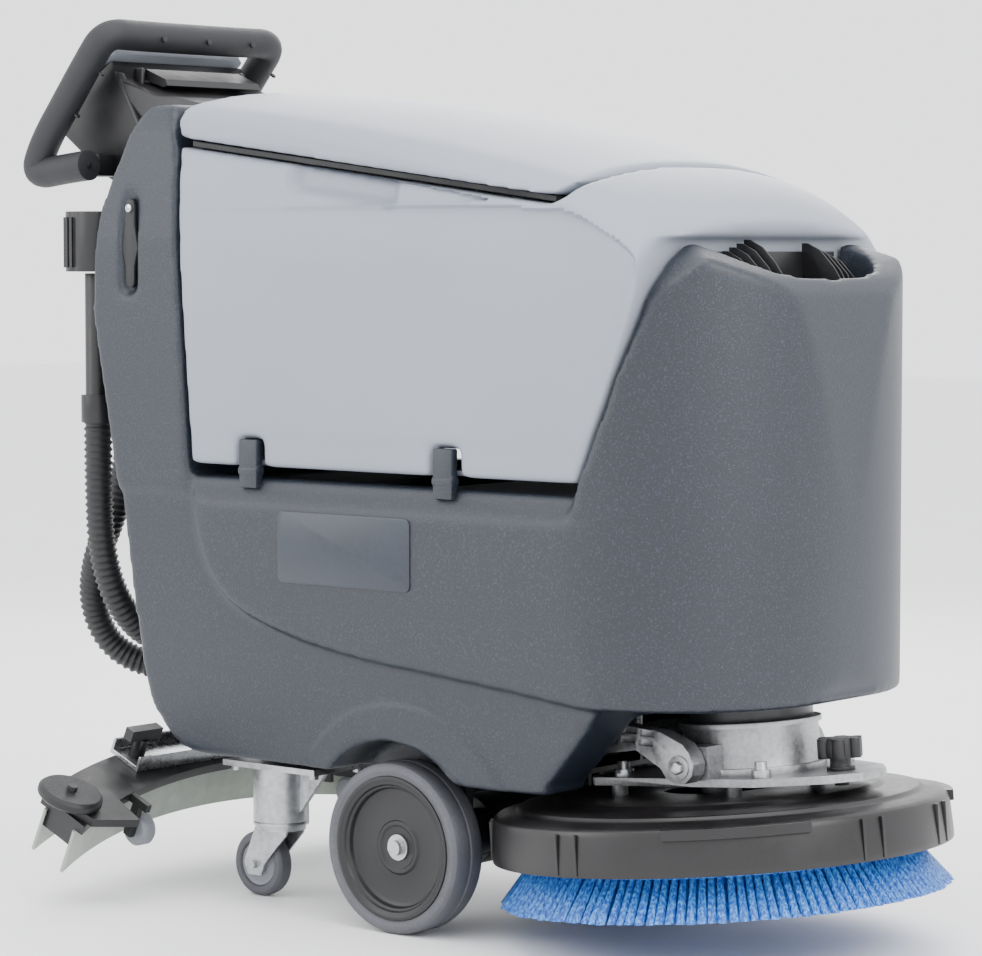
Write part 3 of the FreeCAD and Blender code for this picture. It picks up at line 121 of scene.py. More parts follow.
# ---- drain hose and suction hose -------------------------------------------------------------------
# Corrugated black rubber hoses of 36 mm, both held at both ends: one hangs from the drain plug and
# turns up under the column, the other climbs from the squeegee to its elbow. A wire helix shows as ribs.
hose_rubber, tree, shader = finish("corrugated_hose_rubber", "#131416", 0.5)
place = add(tree, "ShaderNodeTexCoord")
scuff = add(tree, "ShaderNodeTexNoise", [("Vector", place.outputs["Object"])], Scale=38.0, Detail=4.0)
dust = add(tree, "ShaderNodeMapRange", [("Value", scuff.outputs["Fac"])], To_Min=0.42, To_Max=0.66)
tree.links.new(dust.outputs["Result"], shader.inputs["Roughness"])
tone = add(tree, "ShaderNodeMix", [("Factor", scuff.outputs["Fac"])], data_type="RGBA")
tone.inputs["A"].default_value = linear("#0c0d0f")
tone.inputs["B"].default_value = linear("#1a1b1e")
tree.links.new(tone.outputs["Result"], shader.inputs["Base Color"])


def spline_points(route, name):
    """Points along the smooth line that a route's points pull into shape."""
    path = bpy.data.curves.new(name, "CURVE")
    path.dimensions = "3D"
    path.resolution_u = 14
    spline = path.splines.new("NURBS")
    spline.points.add(len(route) - 1)
    for point, (x, y, z) in zip(spline.points, route):
        point.co = (x, y, z, 1)
    spline.order_u = 3
    spline.use_endpoint_u = True
    holder = bpy.data.objects.new(name, path)
    bpy.context.scene.collection.objects.link(holder)
    line = bpy.data.meshes.new_from_object(holder)
    spots = [v.co.copy() for v in line.vertices]
    bpy.data.objects.remove(holder)
    return spots


def corrugated(name, route, radius, pitch, depth):
    """A hose whose wall rises and falls every pitch, lofted along its smooth line."""
    spots = spline_points(route, name + "_line")
    lengths = [0.0]
    for a, b in zip(spots, spots[1:]):
        lengths.append(lengths[-1] + (b - a).length)
    stations = int(lengths[-1] / pitch * 6)
    mesh = bmesh.new()
    previous, side, index = None, None, 0
    for step in range(stations + 1):
        along = lengths[-1] * step / stations
        while index < len(spots) - 2 and lengths[index + 1] < along:
            index += 1
        share = (along - lengths[index]) / max(lengths[index + 1] - lengths[index], 1e-9)
        middle = spots[index].lerp(spots[index + 1], share)
        ahead = (spots[index + 1] - spots[index]).normalized()
        if side is None:
            side = ahead.orthogonal().normalized()
        side = (side - ahead * side.dot(ahead)).normalized()
        other = ahead.cross(side)
        swell = radius - depth * (0.5 - 0.5 * math.cos(2 * math.pi * along / pitch)) ** 0.7
        loop = [mesh.verts.new(middle + (side * math.cos(turn) + other * math.sin(turn)) * swell)
                for turn in (2 * math.pi * k / 28 for k in range(28))]
        if previous:
            for k in range(28):
                mesh.faces.new((previous[k], previous[(k + 1) % 28], loop[(k + 1) % 28], loop[k]))
        else:
            mesh.faces.new(loop[::-1])
        previous = loop
    mesh.faces.new(previous)
    shape = bpy.data.meshes.new(name)
    mesh.to_mesh(shape)
    mesh.free()
    for face in shape.polygons:
        face.use_smooth = True
    hose = bpy.data.objects.new(name, shape)
    bpy.context.scene.collection.objects.link(hose)
    hose.data.materials.append(hose_rubber)
    return hose, lengths[-1]


DRAIN_ROUTE = [(-0.4522, -0.2, 0.5755), (-0.4522, -0.2, 0.49), (-0.4512, -0.196, 0.41), (-0.4472, -0.172, 0.345),
               (-0.4432, -0.122, 0.3), (-0.4372, -0.062, 0.3), (-0.4292, -0.008, 0.342), (-0.4252, 0.016, 0.402),
               (-0.4242, 0.02, 0.452), (-0.4102, 0.02, 0.492), (-0.3682, 0.02, 0.503)]
drain_hose, drain_length = corrugated("drain_hose_ribbed", DRAIN_ROUTE, 0.018, 0.0085, 0.0028)
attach(drain_hose, "chassis")
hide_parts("drain_hose")
SUCTION_ROUTE = [(-0.4199, 0.0, 0.2015), (-0.405, 0.0, 0.235), (-0.4352, -0.028, 0.264), (-0.4932, -0.062, 0.254),
                 (-0.5412, -0.092, 0.278), (-0.5552, -0.114, 0.332), (-0.5352, -0.128, 0.394), (-0.4932, -0.136, 0.452),
                 (-0.4612, -0.14, 0.525), (-0.4492, -0.14, 0.61), (-0.4482, -0.14, 0.7), (-0.4482, -0.14, 0.771)]
suction_hose, suction_length = corrugated("suction_hose_ribbed", SUCTION_ROUTE, 0.018, 0.0085, 0.0028)
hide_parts("suction_hose")
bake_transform(suction_hose)

# ---- solution tank -----------------------------------------------------------------------------------
# One rotomoulded slate polyethylene shell: lower body, rear column and front hood in one piece. Its
# corners are soft because it cools in a mould, and the mould's blasted face leaves a fine grain whose
# sparkle is painted into the colour as pale blue-grey flecks, a painted glint.
slate, tree, shader = finish("rotomoulded_slate_polyethylene", "#1b2027", 0.42)
place = add(tree, "ShaderNodeTexCoord")
grain = add(tree, "ShaderNodeTexNoise", [("Vector", place.outputs["Object"])], Scale=430.0, Detail=3.0, Roughness=0.65)
cloud = add(tree, "ShaderNodeTexNoise", [("Vector", place.outputs["Object"])], Scale=3.2, Detail=3.0)
tone = add(tree, "ShaderNodeMix", [("Factor", cloud.outputs["Fac"])], data_type="RGBA")
tone.inputs["A"].default_value = linear("#0f141b")
tone.inputs["B"].default_value = linear("#171e29")
# painted glint: where the fine grain peaks, the colour is lifted towards pale blue-grey flecks that stand in for
# sparkle
painted_glint_share = add(tree, "ShaderNodeMapRange", [("Value", grain.outputs["Fac"])], From_Min=0.52, From_Max=0.72,
            To_Min=0.0, To_Max=0.35)
painted_glint_tone = add(tree, "ShaderNodeMix", [("Factor", painted_glint_share.outputs["Result"]), ("A", tone.outputs["Result"])], data_type="RGBA")
painted_glint_tone.inputs["B"].default_value = linear("#46546b")
tree.links.new(painted_glint_tone.outputs["Result"], shader.inputs["Base Color"])
sheen = add(tree, "ShaderNodeMapRange", [("Value", grain.outputs["Fac"])], To_Min=0.30, To_Max=0.56)
tree.links.new(sheen.outputs["Result"], shader.inputs["Roughness"])
relief = add(tree, "ShaderNodeBump", [("Height", grain.outputs["Fac"])], Strength=0.42, Distance=0.0012)
tree.links.new(relief.outputs["Normal"], shader.inputs["Normal"])
shader.inputs["Specular IOR Level"].default_value = 0.55


def flowing(points, steps=7):
    """A closed outline that runs smoothly through its points; a point given twice is a sharp corner."""
    outline = []
    for k in range(len(points)):
        p0, p1, p2, p3 = (points[(k + n - 1) % len(points)] for n in range(4))
        if p1 == p2:
            continue
        for step in range(steps):
            t = step / steps
            outline.append(tuple(0.5 * (2 * b + (c - a) * t + (2 * a - 5 * b + 4 * c - d) * t * t
                                        + (3 * b - a - 3 * c + d) * t ** 3)
                                 for a, b, c, d in zip(p0, p1, p2, p3)))
    return outline


def prism(name, outline, across, low, high):
    """A block with that outline, drawn in the plane across one axis and drawn out along it."""
    bpy.ops.object.select_all(action="DESELECT")
    bpy.ops.mesh.primitive_circle_add(vertices=len(outline), fill_type="NGON", location=(0, 0, 0))
    block = bpy.context.object
    block.name = name
    first, second = [axis for axis in range(3) if axis != across]
    for vertex, (a, b) in zip(block.data.vertices, outline):
        vertex.co[first], vertex.co[second], vertex.co[across] = a, b, low
    travel = [0.0, 0.0, 0.0]
    travel[across] = high - low
    bpy.ops.object.mode_set(mode="EDIT")
    bpy.ops.mesh.select_all(action="SELECT")
    bpy.ops.mesh.extrude_region_move(TRANSFORM_OT_translate={"value": travel})
    bpy.ops.mesh.select_all(action="SELECT")
    bpy.ops.mesh.normals_make_consistent(inside=False)
    bpy.ops.object.mode_set(mode="OBJECT")
    return block


def carve(block, tool, operation="DIFFERENCE"):
    """Cut, join or keep what two blocks share, and use the tool up."""
    change = block.modifiers.new("carve", "BOOLEAN")
    change.object, change.operation, change.solver = tool, operation, "EXACT"
    bpy.context.view_layer.objects.active = block
    bpy.ops.object.modifier_apply(modifier=change.name)
    bpy.data.objects.remove(tool)
    return block


def apply_all(block):
    """Every modifier of a finished piece made part of its mesh."""
    bpy.context.view_layer.objects.active = block
    for change in list(block.modifiers):
        bpy.ops.object.modifier_apply(modifier=change.name)


def mould(block, voxel, rounds):
    """The soft even skin of a moulding: one closed surface with every corner eased."""
    skin = block.modifiers.new("skin", "REMESH")
    skin.mode, skin.voxel_size = "VOXEL", voxel
    ease = block.modifiers.new("ease", "SMOOTH")
    ease.factor, ease.iterations = 0.5, rounds
    apply_all(block)
    for face in block.data.polygons:
        face.use_smooth = True
    return block


def drum(name, radius, depth, middle, turn=(0, 0, 0), vertices=64):
    """A round block at its place, ready to cut with or to shape."""
    bpy.ops.object.select_all(action="DESELECT")
    bpy.ops.mesh.primitive_cylinder_add(vertices=vertices, radius=radius, depth=depth, location=middle, rotation=turn)
    piece = bpy.context.object
    piece.name = name
    bpy.ops.object.transform_apply(location=True, rotation=True, scale=True)
    return piece


def brick(name, low, high):
    """A straight block between two corners."""
    bpy.ops.object.select_all(action="DESELECT")
    bpy.ops.mesh.primitive_cube_add(size=1, location=[(a + b) / 2 for a, b in zip(low, high)])
    piece = bpy.context.object
    piece.name = name
    piece.scale = [b - a for a, b in zip(low, high)]
    bpy.ops.object.transform_apply(location=True, rotation=True, scale=True)
    return piece


def mirrored_outline(half):
    """A half section, right edge from bottom to top, closed with its mirror image."""
    return half + [(-y, z) for y, z in reversed(half)]


def nose_plan(back, start, front, half, bluntness=0.87, steps=26):
    """The tank seen from above: parallel sides that close in a full round nose."""
    right = [(back, half - 0.014), (back + 0.2, half), (start, half)]
    for k in range(1, steps):
        turn = math.pi / 2 * (1 - k / steps)
        right.append((start + (front - start) * math.cos(turn) ** bluntness, half * math.sin(turn) ** bluntness))
    return right + [(front, 0.0)] + [(x, -y) for x, y in reversed(right)]


BODY_CORNERS = [(-0.263, 0.182), (-0.302, 0.196), (-0.331, 0.228), (-0.343, 0.258), (-0.352, 0.316), (-0.381, 0.520),
                (-0.381, 0.520), (0.5315, 0.520), (0.5315, 0.520), (0.5318, 0.332), (0.526, 0.302), (0.515, 0.290),
                (0.365, 0.288), (0.352, 0.281), (0.333, 0.257), (0.293, 0.212), (0.270, 0.191), (0.237, 0.1825),
                (-0.16, 0.182)]
body = prism("solution_tank_shell", flowing(BODY_CORNERS), 1, -0.26, 0.26)
carve(body, prism("foot_section", mirrored_outline([(0.219, 0.18), (0.228, 0.26), (0.233, 0.33), (0.236, 0.53)]), 0,
                  -0.5, 0.6), "INTERSECT")
carve(body, prism("body_plan", nose_plan(-0.42, 0.2988, 0.5318, 0.25), 2, 0.1, 0.6), "INTERSECT")
PROUD_CORNERS = [(-0.248, 0.509), (-0.248, 0.509), (-0.246, 0.490), (-0.238, 0.446), (-0.222, 0.410), (-0.197, 0.382),
                 (-0.155, 0.359), (-0.075, 0.336), (0.024, 0.320), (0.121, 0.311), (0.240, 0.300), (0.330, 0.290),
                 (0.372, 0.289), (0.372, 0.289), (0.515, 0.2895), (0.526, 0.302), (0.5318, 0.332), (0.5315, 0.509),
                 (0.5315, 0.509)]
proud = prism("proud_side", flowing(PROUD_CORNERS), 1, -0.26, 0.26)
carve(proud, prism("proud_section", mirrored_outline([(0.2435, 0.27), (0.247, 0.33), (0.2498, 0.41), (0.2498, 0.489),
                                                      (0.2375, 0.5095)]), 0, -0.5, 0.6), "INTERSECT")
carve(proud, prism("proud_plan", nose_plan(-0.42, 0.2988, 0.5318, 0.25), 2, 0.1, 0.6), "INTERSECT")
carve(body, proud, "UNION")
COLUMN_CORNERS = [(-0.381, 0.500), (-0.381, 0.500), (-0.4195, 0.700), (-0.4202, 0.722), (-0.4180, 0.790), (-0.409, 0.843),
                  (-0.366, 0.938), (-0.352, 0.958), (-0.338, 0.962), (-0.3025, 0.962), (-0.3025, 0.962), (-0.2865, 0.904),
                  (-0.2865, 0.904), (-0.2575, 0.500), (-0.2575, 0.500)]
column = prism("column", flowing(COLUMN_CORNERS, 4), 1, -0.26, 0.26)
carve(column, prism("column_section", mirrored_outline([(0.2405, 0.49), (0.2385, 0.802), (0.2245, 0.930), (0.2100, 0.963)]),
                    0, -0.5, 0.0), "INTERSECT")
carve(body, column, "UNION")
HOOD_CORNERS = [(0.327, 0.500), (0.327, 0.500), (0.343, 0.550), (0.379, 0.643), (0.411, 0.742), (0.414, 0.796),
                (0.414, 0.796), (0.432, 0.793), (0.468, 0.779), (0.500, 0.761), (0.513, 0.748), (0.5215, 0.728),
                (0.5285, 0.640), (0.5318, 0.500), (0.5318, 0.500)]
hood = prism("hood", flowing(HOOD_CORNERS, 5), 1, -0.26, 0.26)
carve(hood, prism("hood_section", mirrored_outline([(0.2498, 0.485), (0.2475, 0.54), (0.2375, 0.657), (0.2200, 0.735),
                                                    (0.2130, 0.750), (0.186, 0.779), (0.152, 0.7985)]), 0, 0.2, 0.6),
      "INTERSECT")
carve(hood, prism("hood_plan", nose_plan(-0.42, 0.2988, 0.5318, 0.25), 2, 0.4, 0.9), "INTERSECT")
carve(body, hood, "UNION")
dish = [(0.150, 0.796), (0.138, 0.785), (0.115, 0.772), (0.085, 0.763), (0.045, 0.758), (0.0, 0.7565)]
rim_cut = [(-0.15, 0.84)] + [(-y, z) for y, z in dish] + dish[-2::-1] + [(0.15, 0.84)]
carve(body, prism("rim_dip", rim_cut, 0, 0.4295, 0.56))
MOUTH_HALF = [(0.4165, 0.148), (0.4165, 0.148), (0.446, 0.147), (0.476, 0.131), (0.499, 0.100), (0.509, 0.055),
              (0.5115, 0.0)]
mouth_outline = MOUTH_HALF + [(x, -y) for x, y in reversed(MOUTH_HALF[:-1])]
mouth_room = prism("mouth_room", flowing(mouth_outline, 5), 2, 0.69, 0.83)
for vertex in mouth_room.data.vertices:
    if vertex.co.z < 0.75:
        vertex.co.x = 0.4165 + (vertex.co.x - 0.4165) * 0.80
        vertex.co.y *= 0.86
carve(body, mouth_room)
carve(body, brick("battery_room", (-0.225, -0.198, 0.232), (0.107, 0.198, 0.56)))
carve(body, drum("deck_room", 0.098, 0.122, (0.3878, 0, 0.311)))
carve(body, brick("arm_room", (0.1218, -0.146, 0.1), (0.4218, 0.146, 0.27)))
carve(body, drum("actuator_room", 0.028, 0.2, (0.2348, 0, 0.218)))
for side in (-1, 1):
    carve(body, drum("wheel_room", 0.125, 0.13, (0.0438, side * 0.221, 0.1), (math.pi / 2, 0, 0)))
    strap_outline = [(-0.3738 + 0.0105 * math.cos(a), 0.796 + 0.052 * (1 if math.sin(a) > 0 else -1)
                      + 0.0105 * math.sin(a)) for a in (2 * math.pi * (k + 0.5) / 32 for k in range(32))]
    slot = prism("strap_room", [(x + 0.0148, z) for x, z in strap_outline], 1, -0.012, 0.012)
    slot.scale.x = 1.0
    for vertex in slot.data.vertices:
        vertex.co.x = -0.359 + (vertex.co.x + 0.359) * 1.35
        vertex.co.y += side * 0.239
    carve(body, slot)
carve(body, drum("rear_port_room", 0.023, 0.07, (-0.3782, 0.02, 0.501), (0, math.pi / 2, 0)))
mould(body, 0.0044, 12)
# the wheel arch stands a little proud of the recessed foot
for vertex in body.data.vertices:
    x, y, z = vertex.co
    reach = math.hypot(x - 0.0438 - 0.02, (z - 0.1) * 1.02)
    if abs(y) > 0.205 and z < 0.30 and z > 0.175 and 0.125 < reach < 0.20 and x < 0.30:
        rise = min(1.0, max(0.0, (0.176 - reach) / 0.005))
        vertex.co.y += math.copysign(0.0032 * rise, y)
if len(body.data.polygons) > 95000:
    thin = body.modifiers.new("thin", "DECIMATE")
    thin.ratio = 95000 / len(body.data.polygons)
    apply_all(body)
body.data.materials.append(slate)
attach(body, "chassis")
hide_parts("solution_tank")

# ---- recovery tank -----------------------------------------------------------------------------------
# Light grey rotomoulded polyethylene, open on top under the lid. It tips to the near side on two pins.
# A soft crease runs down its side, a lip follows the hood, and a shallow scoop under the lid is the grip.
pale, tree, shader = finish("rotomoulded_pale_grey_polyethylene", "#a2a7b2", 0.45)
place = add(tree, "ShaderNodeTexCoord")
grain = add(tree, "ShaderNodeTexNoise", [("Vector", place.outputs["Object"])], Scale=620.0, Detail=2.0, Roughness=0.6)
cloud = add(tree, "ShaderNodeTexNoise", [("Vector", place.outputs["Object"])], Scale=2.4, Detail=2.0)
tone = add(tree, "ShaderNodeMix", [("Factor", cloud.outputs["Fac"])], data_type="RGBA")
tone.inputs["A"].default_value = linear("#80858f")
tone.inputs["B"].default_value = linear("#8f949f")
tree.links.new(tone.outputs["Result"], shader.inputs["Base Color"])
sheen = add(tree, "ShaderNodeMapRange", [("Value", grain.outputs["Fac"])], To_Min=0.38, To_Max=0.52)
tree.links.new(sheen.outputs["Result"], shader.inputs["Roughness"])
relief = add(tree, "ShaderNodeBump", [("Height", grain.outputs["Fac"])], Strength=0.14, Distance=0.0008)
tree.links.new(relief.outputs["Normal"], shader.inputs["Normal"])


def between(stations, x):
    """A height read off a line of (place, height) stations, straight between them."""
    if x <= stations[0][0]:
        return stations[0][1]
    for (xa, za), (xb, zb) in zip(stations, stations[1:]):
        if x <= xb:
            t = (x - xa) / (xb - xa)
            return za + (zb - za) * t
    return stations[-1][1]


CREST = [(-0.33, 0.982), (-0.27, 0.981), (-0.20, 0.9775), (-0.10, 0.968), (0.0, 0.955), (0.10, 0.938), (0.20, 0.9165),
         (0.30, 0.890), (0.36, 0.868), (0.40, 0.846), (0.43, 0.822), (0.46, 0.790)]
SHOULDER = [(-0.33, 0.962), (-0.289, 0.956), (-0.224, 0.950), (-0.087, 0.932), (0.066, 0.908), (0.213, 0.881),
            (0.318, 0.857), (0.36, 0.838), (0.40, 0.812), (0.43, 0.786), (0.46, 0.75)]


def roof(name):
    """The rounded top that the lid and the tank's front shoulder share."""
    bpy.ops.object.select_all(action="DESELECT")
    bpy.ops.mesh.primitive_grid_add(x_subdivisions=60, y_subdivisions=48, size=1, location=(0, 0, 0))
    sheet = bpy.context.object
    sheet.name = name
    for vertex in sheet.data.vertices:
        x = -0.33 + (vertex.co.x + 0.5) * 0.79
        y = vertex.co.y * 0.52
        crest, shoulder = between(CREST, x), between(SHOULDER, x)
        share = min(1.0, abs(y) / 0.222)
        z = crest - (crest - shoulder) * share ** 2.3
        z -= max(0.0, abs(y) - 0.212) * 0.9
        vertex.co = (x, y, z)
    smooth = sheet.modifiers.new("even", "SMOOTH")
    smooth.factor, smooth.iterations = 0.5, 4
    apply_all(sheet)
    bpy.ops.object.mode_set(mode="EDIT")
    bpy.ops.mesh.select_all(action="SELECT")
    bpy.ops.mesh.extrude_region_move(TRANSFORM_OT_translate={"value": (0, 0, -0.6)})
    bpy.ops.mesh.select_all(action="SELECT")
    bpy.ops.mesh.normals_make_consistent(inside=False)
    bpy.ops.object.mode_set(mode="OBJECT")
    for vertex in sheet.data.vertices:
        if vertex.co.z < 0.45:
            vertex.co.z = 0.3
    return sheet


SIDE_HALF = [(0.2435, 0.50), (0.2435, 0.62), (0.2430, 0.72), (0.2405, 0.80), (0.2345, 0.875), (0.2285, 0.92),
             (0.2225, 0.955), (0.2160, 0.99)]
TANK_CORNERS = [(-0.2515, 0.534), (-0.2515, 0.534), (-0.2818, 0.902), (-0.2818, 0.9105), (-0.2818, 0.9105),
                (0.2850, 0.8375), (0.2850, 0.8375), (0.2960, 0.8400), (0.3085, 0.8530), (0.3170, 0.8700),
                (0.3200, 0.930), (0.3200, 0.930), (0.4600, 0.930), (0.4600, 0.930), (0.4255, 0.8005), (0.4255, 0.8005),
                (0.4110, 0.8005), (0.4110, 0.8005), (0.4075, 0.742), (0.375, 0.645), (0.3395, 0.552), (0.3335, 0.534),
                (0.3335, 0.534)]
tank = prism("recovery_tank_shell", flowing(TANK_CORNERS, 6), 1, -0.26, 0.26)
carve(tank, prism("side_section", mirrored_outline(SIDE_HALF), 0, -0.4, 0.6), "INTERSECT")
carve(tank, roof("tank_roof"), "INTERSECT")
for side in (-1, 1):
    # the band under the shadow line steps back, and each hinge notch is cut up through it
    carve(tank, brick("band_step", (-0.30, side * 0.2422 - 0.0, 0.50) if side > 0 else (-0.30, -0.26, 0.50),
                      (0.40, 0.26, 0.5745) if side > 0 else (0.40, -0.2422, 0.5745)))
for index in range(2):
    start = -0.1772 + 0.3 * index
    carve(tank, brick("hinge_notch", (start, -0.26, 0.50), (start + 0.044, -0.229, 0.569)))
mould(tank, 0.0037, 24)
tank_opening = prism("tank_opening", [(-0.24, 0.53), (-0.24, 0.95), (0.262, 0.95), (0.262, 0.53)], 1, -0.194, 0.194)
carve(tank, tank_opening)
tank_room = prism("tank_room", [(-0.246, 0.541), (-0.272, 0.882), (0.28, 0.82), (0.372, 0.79), (0.365, 0.66), (0.325, 0.541)],
                  1, -0.236, 0.236)
carve(tank_room, prism("room_section", mirrored_outline([(0.234, 0.53), (0.233, 0.74), (0.226, 0.80), (0.220, 0.84),
                                                         (0.216, 0.88), (0.214, 0.93)]), 0, -0.4, 0.6), "INTERSECT")
carve(tank, tank_room)
SIDE_CREASE = [(-0.30, 0.872), (-0.06, 0.818), (0.07, 0.793), (0.187, 0.773), (0.309, 0.761), (0.404, 0.749)]
for vertex in tank.data.vertices:
    x, y, z = vertex.co
    if abs(y) > 0.2375 - max(0.0, z - 0.84) * 0.4:
        above = z - between(SIDE_CREASE, x)
        lean = 0.085 * max(0.0, above) + 0.010 * max(0.0, 0.045 - abs(above)) / 0.045 * 0.10
        hollow = 0.0022 * max(0.0, 1 - ((z - 0.675) / 0.10) ** 2) * max(0.0, 1 - ((x - 0.03) / 0.26) ** 2)
        vertex.co.y -= math.copysign(lean + hollow, y)
        if y < 0:
            low_edge = 0.843 - 0.127 * (x - 0.03) * 0.35
            top_edge = 0.8375 + 0.1285 * (0.285 - x)
            ends = min((x + 0.104) / 0.016, (0.070 - x) / 0.016, 1.0)
            rise = min(1.0, max(0.0, (z - (top_edge - 0.034)) / 0.012))
            if ends > 0 and rise > 0 and z < top_edge + 0.006:
                vertex.co.y += 0.013 * min(1.0, ends) * rise
thin = tank.modifiers.new("thin", "DECIMATE")
thin.ratio = min(1.0, 90000 / len(tank.data.polygons))
apply_all(tank)
for face in tank.data.polygons:
    face.use_smooth = True
bpy.ops.object.select_all(action="DESELECT")
tank.select_set(True)
bpy.context.view_layer.objects.active = tank
bpy.ops.object.shade_smooth_by_angle(angle=math.radians(50))
tank.data.materials.append(pale)
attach(tank, "dirty_tank")
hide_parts("recovery_tank")

# ---- tank lid ----------------------------------------------------------------------------------------
# The same pale polyethylene: a shallow hollow cover, hinged at the far side, its front edge a raised bead
# that laps the tank's shoulder.
LID_CORNERS = [(-0.2825, 0.9215), (-0.2825, 0.9215), (-0.2955, 0.985), (-0.2955, 0.985), (-0.2955, 1.02), (-0.2955, 1.02),
               (0.3120, 1.02), (0.3120, 1.02), (0.3110, 0.8760), (0.3040, 0.8610), (0.2930, 0.8490), (0.2860, 0.8475),
               (0.2860, 0.8475)]
lid = prism("tank_lid_shell", flowing(LID_CORNERS, 6), 1, -0.26, 0.26)
carve(lid, prism("lid_section", mirrored_outline(SIDE_HALF), 0, -0.4, 0.6), "INTERSECT")
carve(lid, roof("lid_roof"), "INTERSECT")
mould(lid, 0.0038, 18)
lid_room = prism("lid_room", [(-0.2745, 0.80), (-0.2860, 0.98), (0.3000, 0.98), (0.2790, 0.80)], 1, -0.26, 0.26)
carve(lid_room, prism("lid_room_section", mirrored_outline([(0.230, 0.80), (0.2285, 0.86), (0.2205, 0.92),
                                                            (0.2145, 0.955)]), 0, -0.4, 0.6), "INTERSECT")
lowered = roof("lid_room_roof")
for vertex in lowered.data.vertices:
    if vertex.co.z > 0.45:
        vertex.co.z -= 0.009
carve(lid_room, lowered, "INTERSECT")
carve(lid, lid_room)
thin = lid.modifiers.new("thin", "DECIMATE")
thin.ratio = min(1.0, 60000 / len(lid.data.polygons))
apply_all(lid)
bpy.ops.object.select_all(action="DESELECT")
lid.select_set(True)
bpy.context.view_layer.objects.active = lid
bpy.ops.object.shade_smooth_by_angle(angle=math.radians(50))
lid.data.materials.append(pale)
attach(lid, "lid")
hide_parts("tank_lid")

# ---- filler basket -----------------------------------------------------------------------------------
# A black moulded nylon basket set in the filler mouth: a flat floor and thin upright fins on both sides
# that run down towards the front, with a clear channel between them for the water.


def mottled(name, dark, light, smooth, rough, scale, relief, metallic=0.0):
    """A finish whose shade and gloss drift a little over its surface, with a fine relief."""
    material, tree, shader = finish(name, dark, rough, metallic)
    place = add(tree, "ShaderNodeTexCoord")
    fine = add(tree, "ShaderNodeTexNoise", [("Vector", place.outputs["Object"])], Scale=scale, Detail=4.0, Roughness=0.6)
    broad = add(tree, "ShaderNodeTexNoise", [("Vector", place.outputs["Object"])], Scale=scale / 14, Detail=3.0)
    both = add(tree, "ShaderNodeMath", operation="ADD")
    tree.links.new(fine.outputs["Fac"], both.inputs[0])
    tree.links.new(broad.outputs["Fac"], both.inputs[1])
    share = add(tree, "ShaderNodeMapRange", [("Value", both.outputs["Value"])], From_Min=0.65, From_Max=1.35)
    tone = add(tree, "ShaderNodeMix", [("Factor", share.outputs["Result"])], data_type="RGBA")
    tone.inputs["A"].default_value = linear(dark)
    tone.inputs["B"].default_value = linear(light)
    tree.links.new(tone.outputs["Result"], shader.inputs["Base Color"])
    gloss = add(tree, "ShaderNodeMapRange", [("Value", share.outputs["Result"])], To_Min=smooth, To_Max=rough)
    tree.links.new(gloss.outputs["Result"], shader.inputs["Roughness"])
    bump = add(tree, "ShaderNodeBump", [("Height", fine.outputs["Fac"])], Strength=relief, Distance=0.001)
    tree.links.new(bump.outputs["Normal"], shader.inputs["Normal"])
    return material


def only(piece):
    """That piece alone selected and active."""
    bpy.ops.object.select_all(action="DESELECT")
    piece.select_set(True)
    bpy.context.view_layer.objects.active = piece


def merged(piece, others):
    """Several blocks as one piece."""
    only(piece)
    for other in others:
        other.select_set(True)
    bpy.ops.object.join()
    return piece


def settle(piece, material, body, nodes=(), edge=0.0015, angle=32):
    """Broken edges, soft shading, a finish, and the piece's place in the machine."""
    if edge:
        soft = piece.modifiers.new("edges", "BEVEL")
        soft.limit_method, soft.angle_limit = "ANGLE", math.radians(angle)
        soft.width, soft.segments = edge, 2
        apply_all(piece)
    only(piece)
    bpy.ops.object.shade_smooth_by_angle(angle=math.radians(42))
    piece.data.materials.clear()
    piece.data.materials.append(material)
    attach(piece, body)
    if nodes:
        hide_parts(*nodes)
    return piece


# moulded nylon, almost black, with the even low sheen of a fine spark-eroded mould
moulded_black = mottled("moulded_black_nylon", "#08080a", "#151517", 0.34, 0.5, 520.0, 0.12)
basket = prism("filler_basket", [(0.4185, -0.124), (0.446, -0.124), (0.473, -0.110), (0.490, -0.083), (0.497, -0.045),
                                 (0.499, 0.0), (0.497, 0.045), (0.490, 0.083), (0.473, 0.110), (0.446, 0.124),
                                 (0.4185, 0.124)], 2, 0.7005, 0.7045)
fins = [brick("basket_back", (0.4180, -0.124, 0.702), (0.4205, 0.124, 0.786))]
for across in (-0.120, -0.106, -0.092, -0.078, -0.064, -0.050, 0.062, 0.076, 0.090, 0.104):
    crown = 0.799 - 0.30 * max(0.0, abs(across) - 0.050)
    reach = 0.4795 - 0.20 * max(0.0, abs(across) - 0.060)
    fins.append(prism("basket_fin", [(0.4190, 0.703), (0.4190, crown), (0.4270, crown), (0.444, crown - 0.008),
                                     (0.462, crown - 0.026), (reach, crown - 0.050), (reach + 0.004, 0.703)],
                      1, across - 0.0011, across + 0.0011))
merged(basket, fins)
settle(basket, moulded_black, "chassis", ["filler_grille"], edge=0.0004)

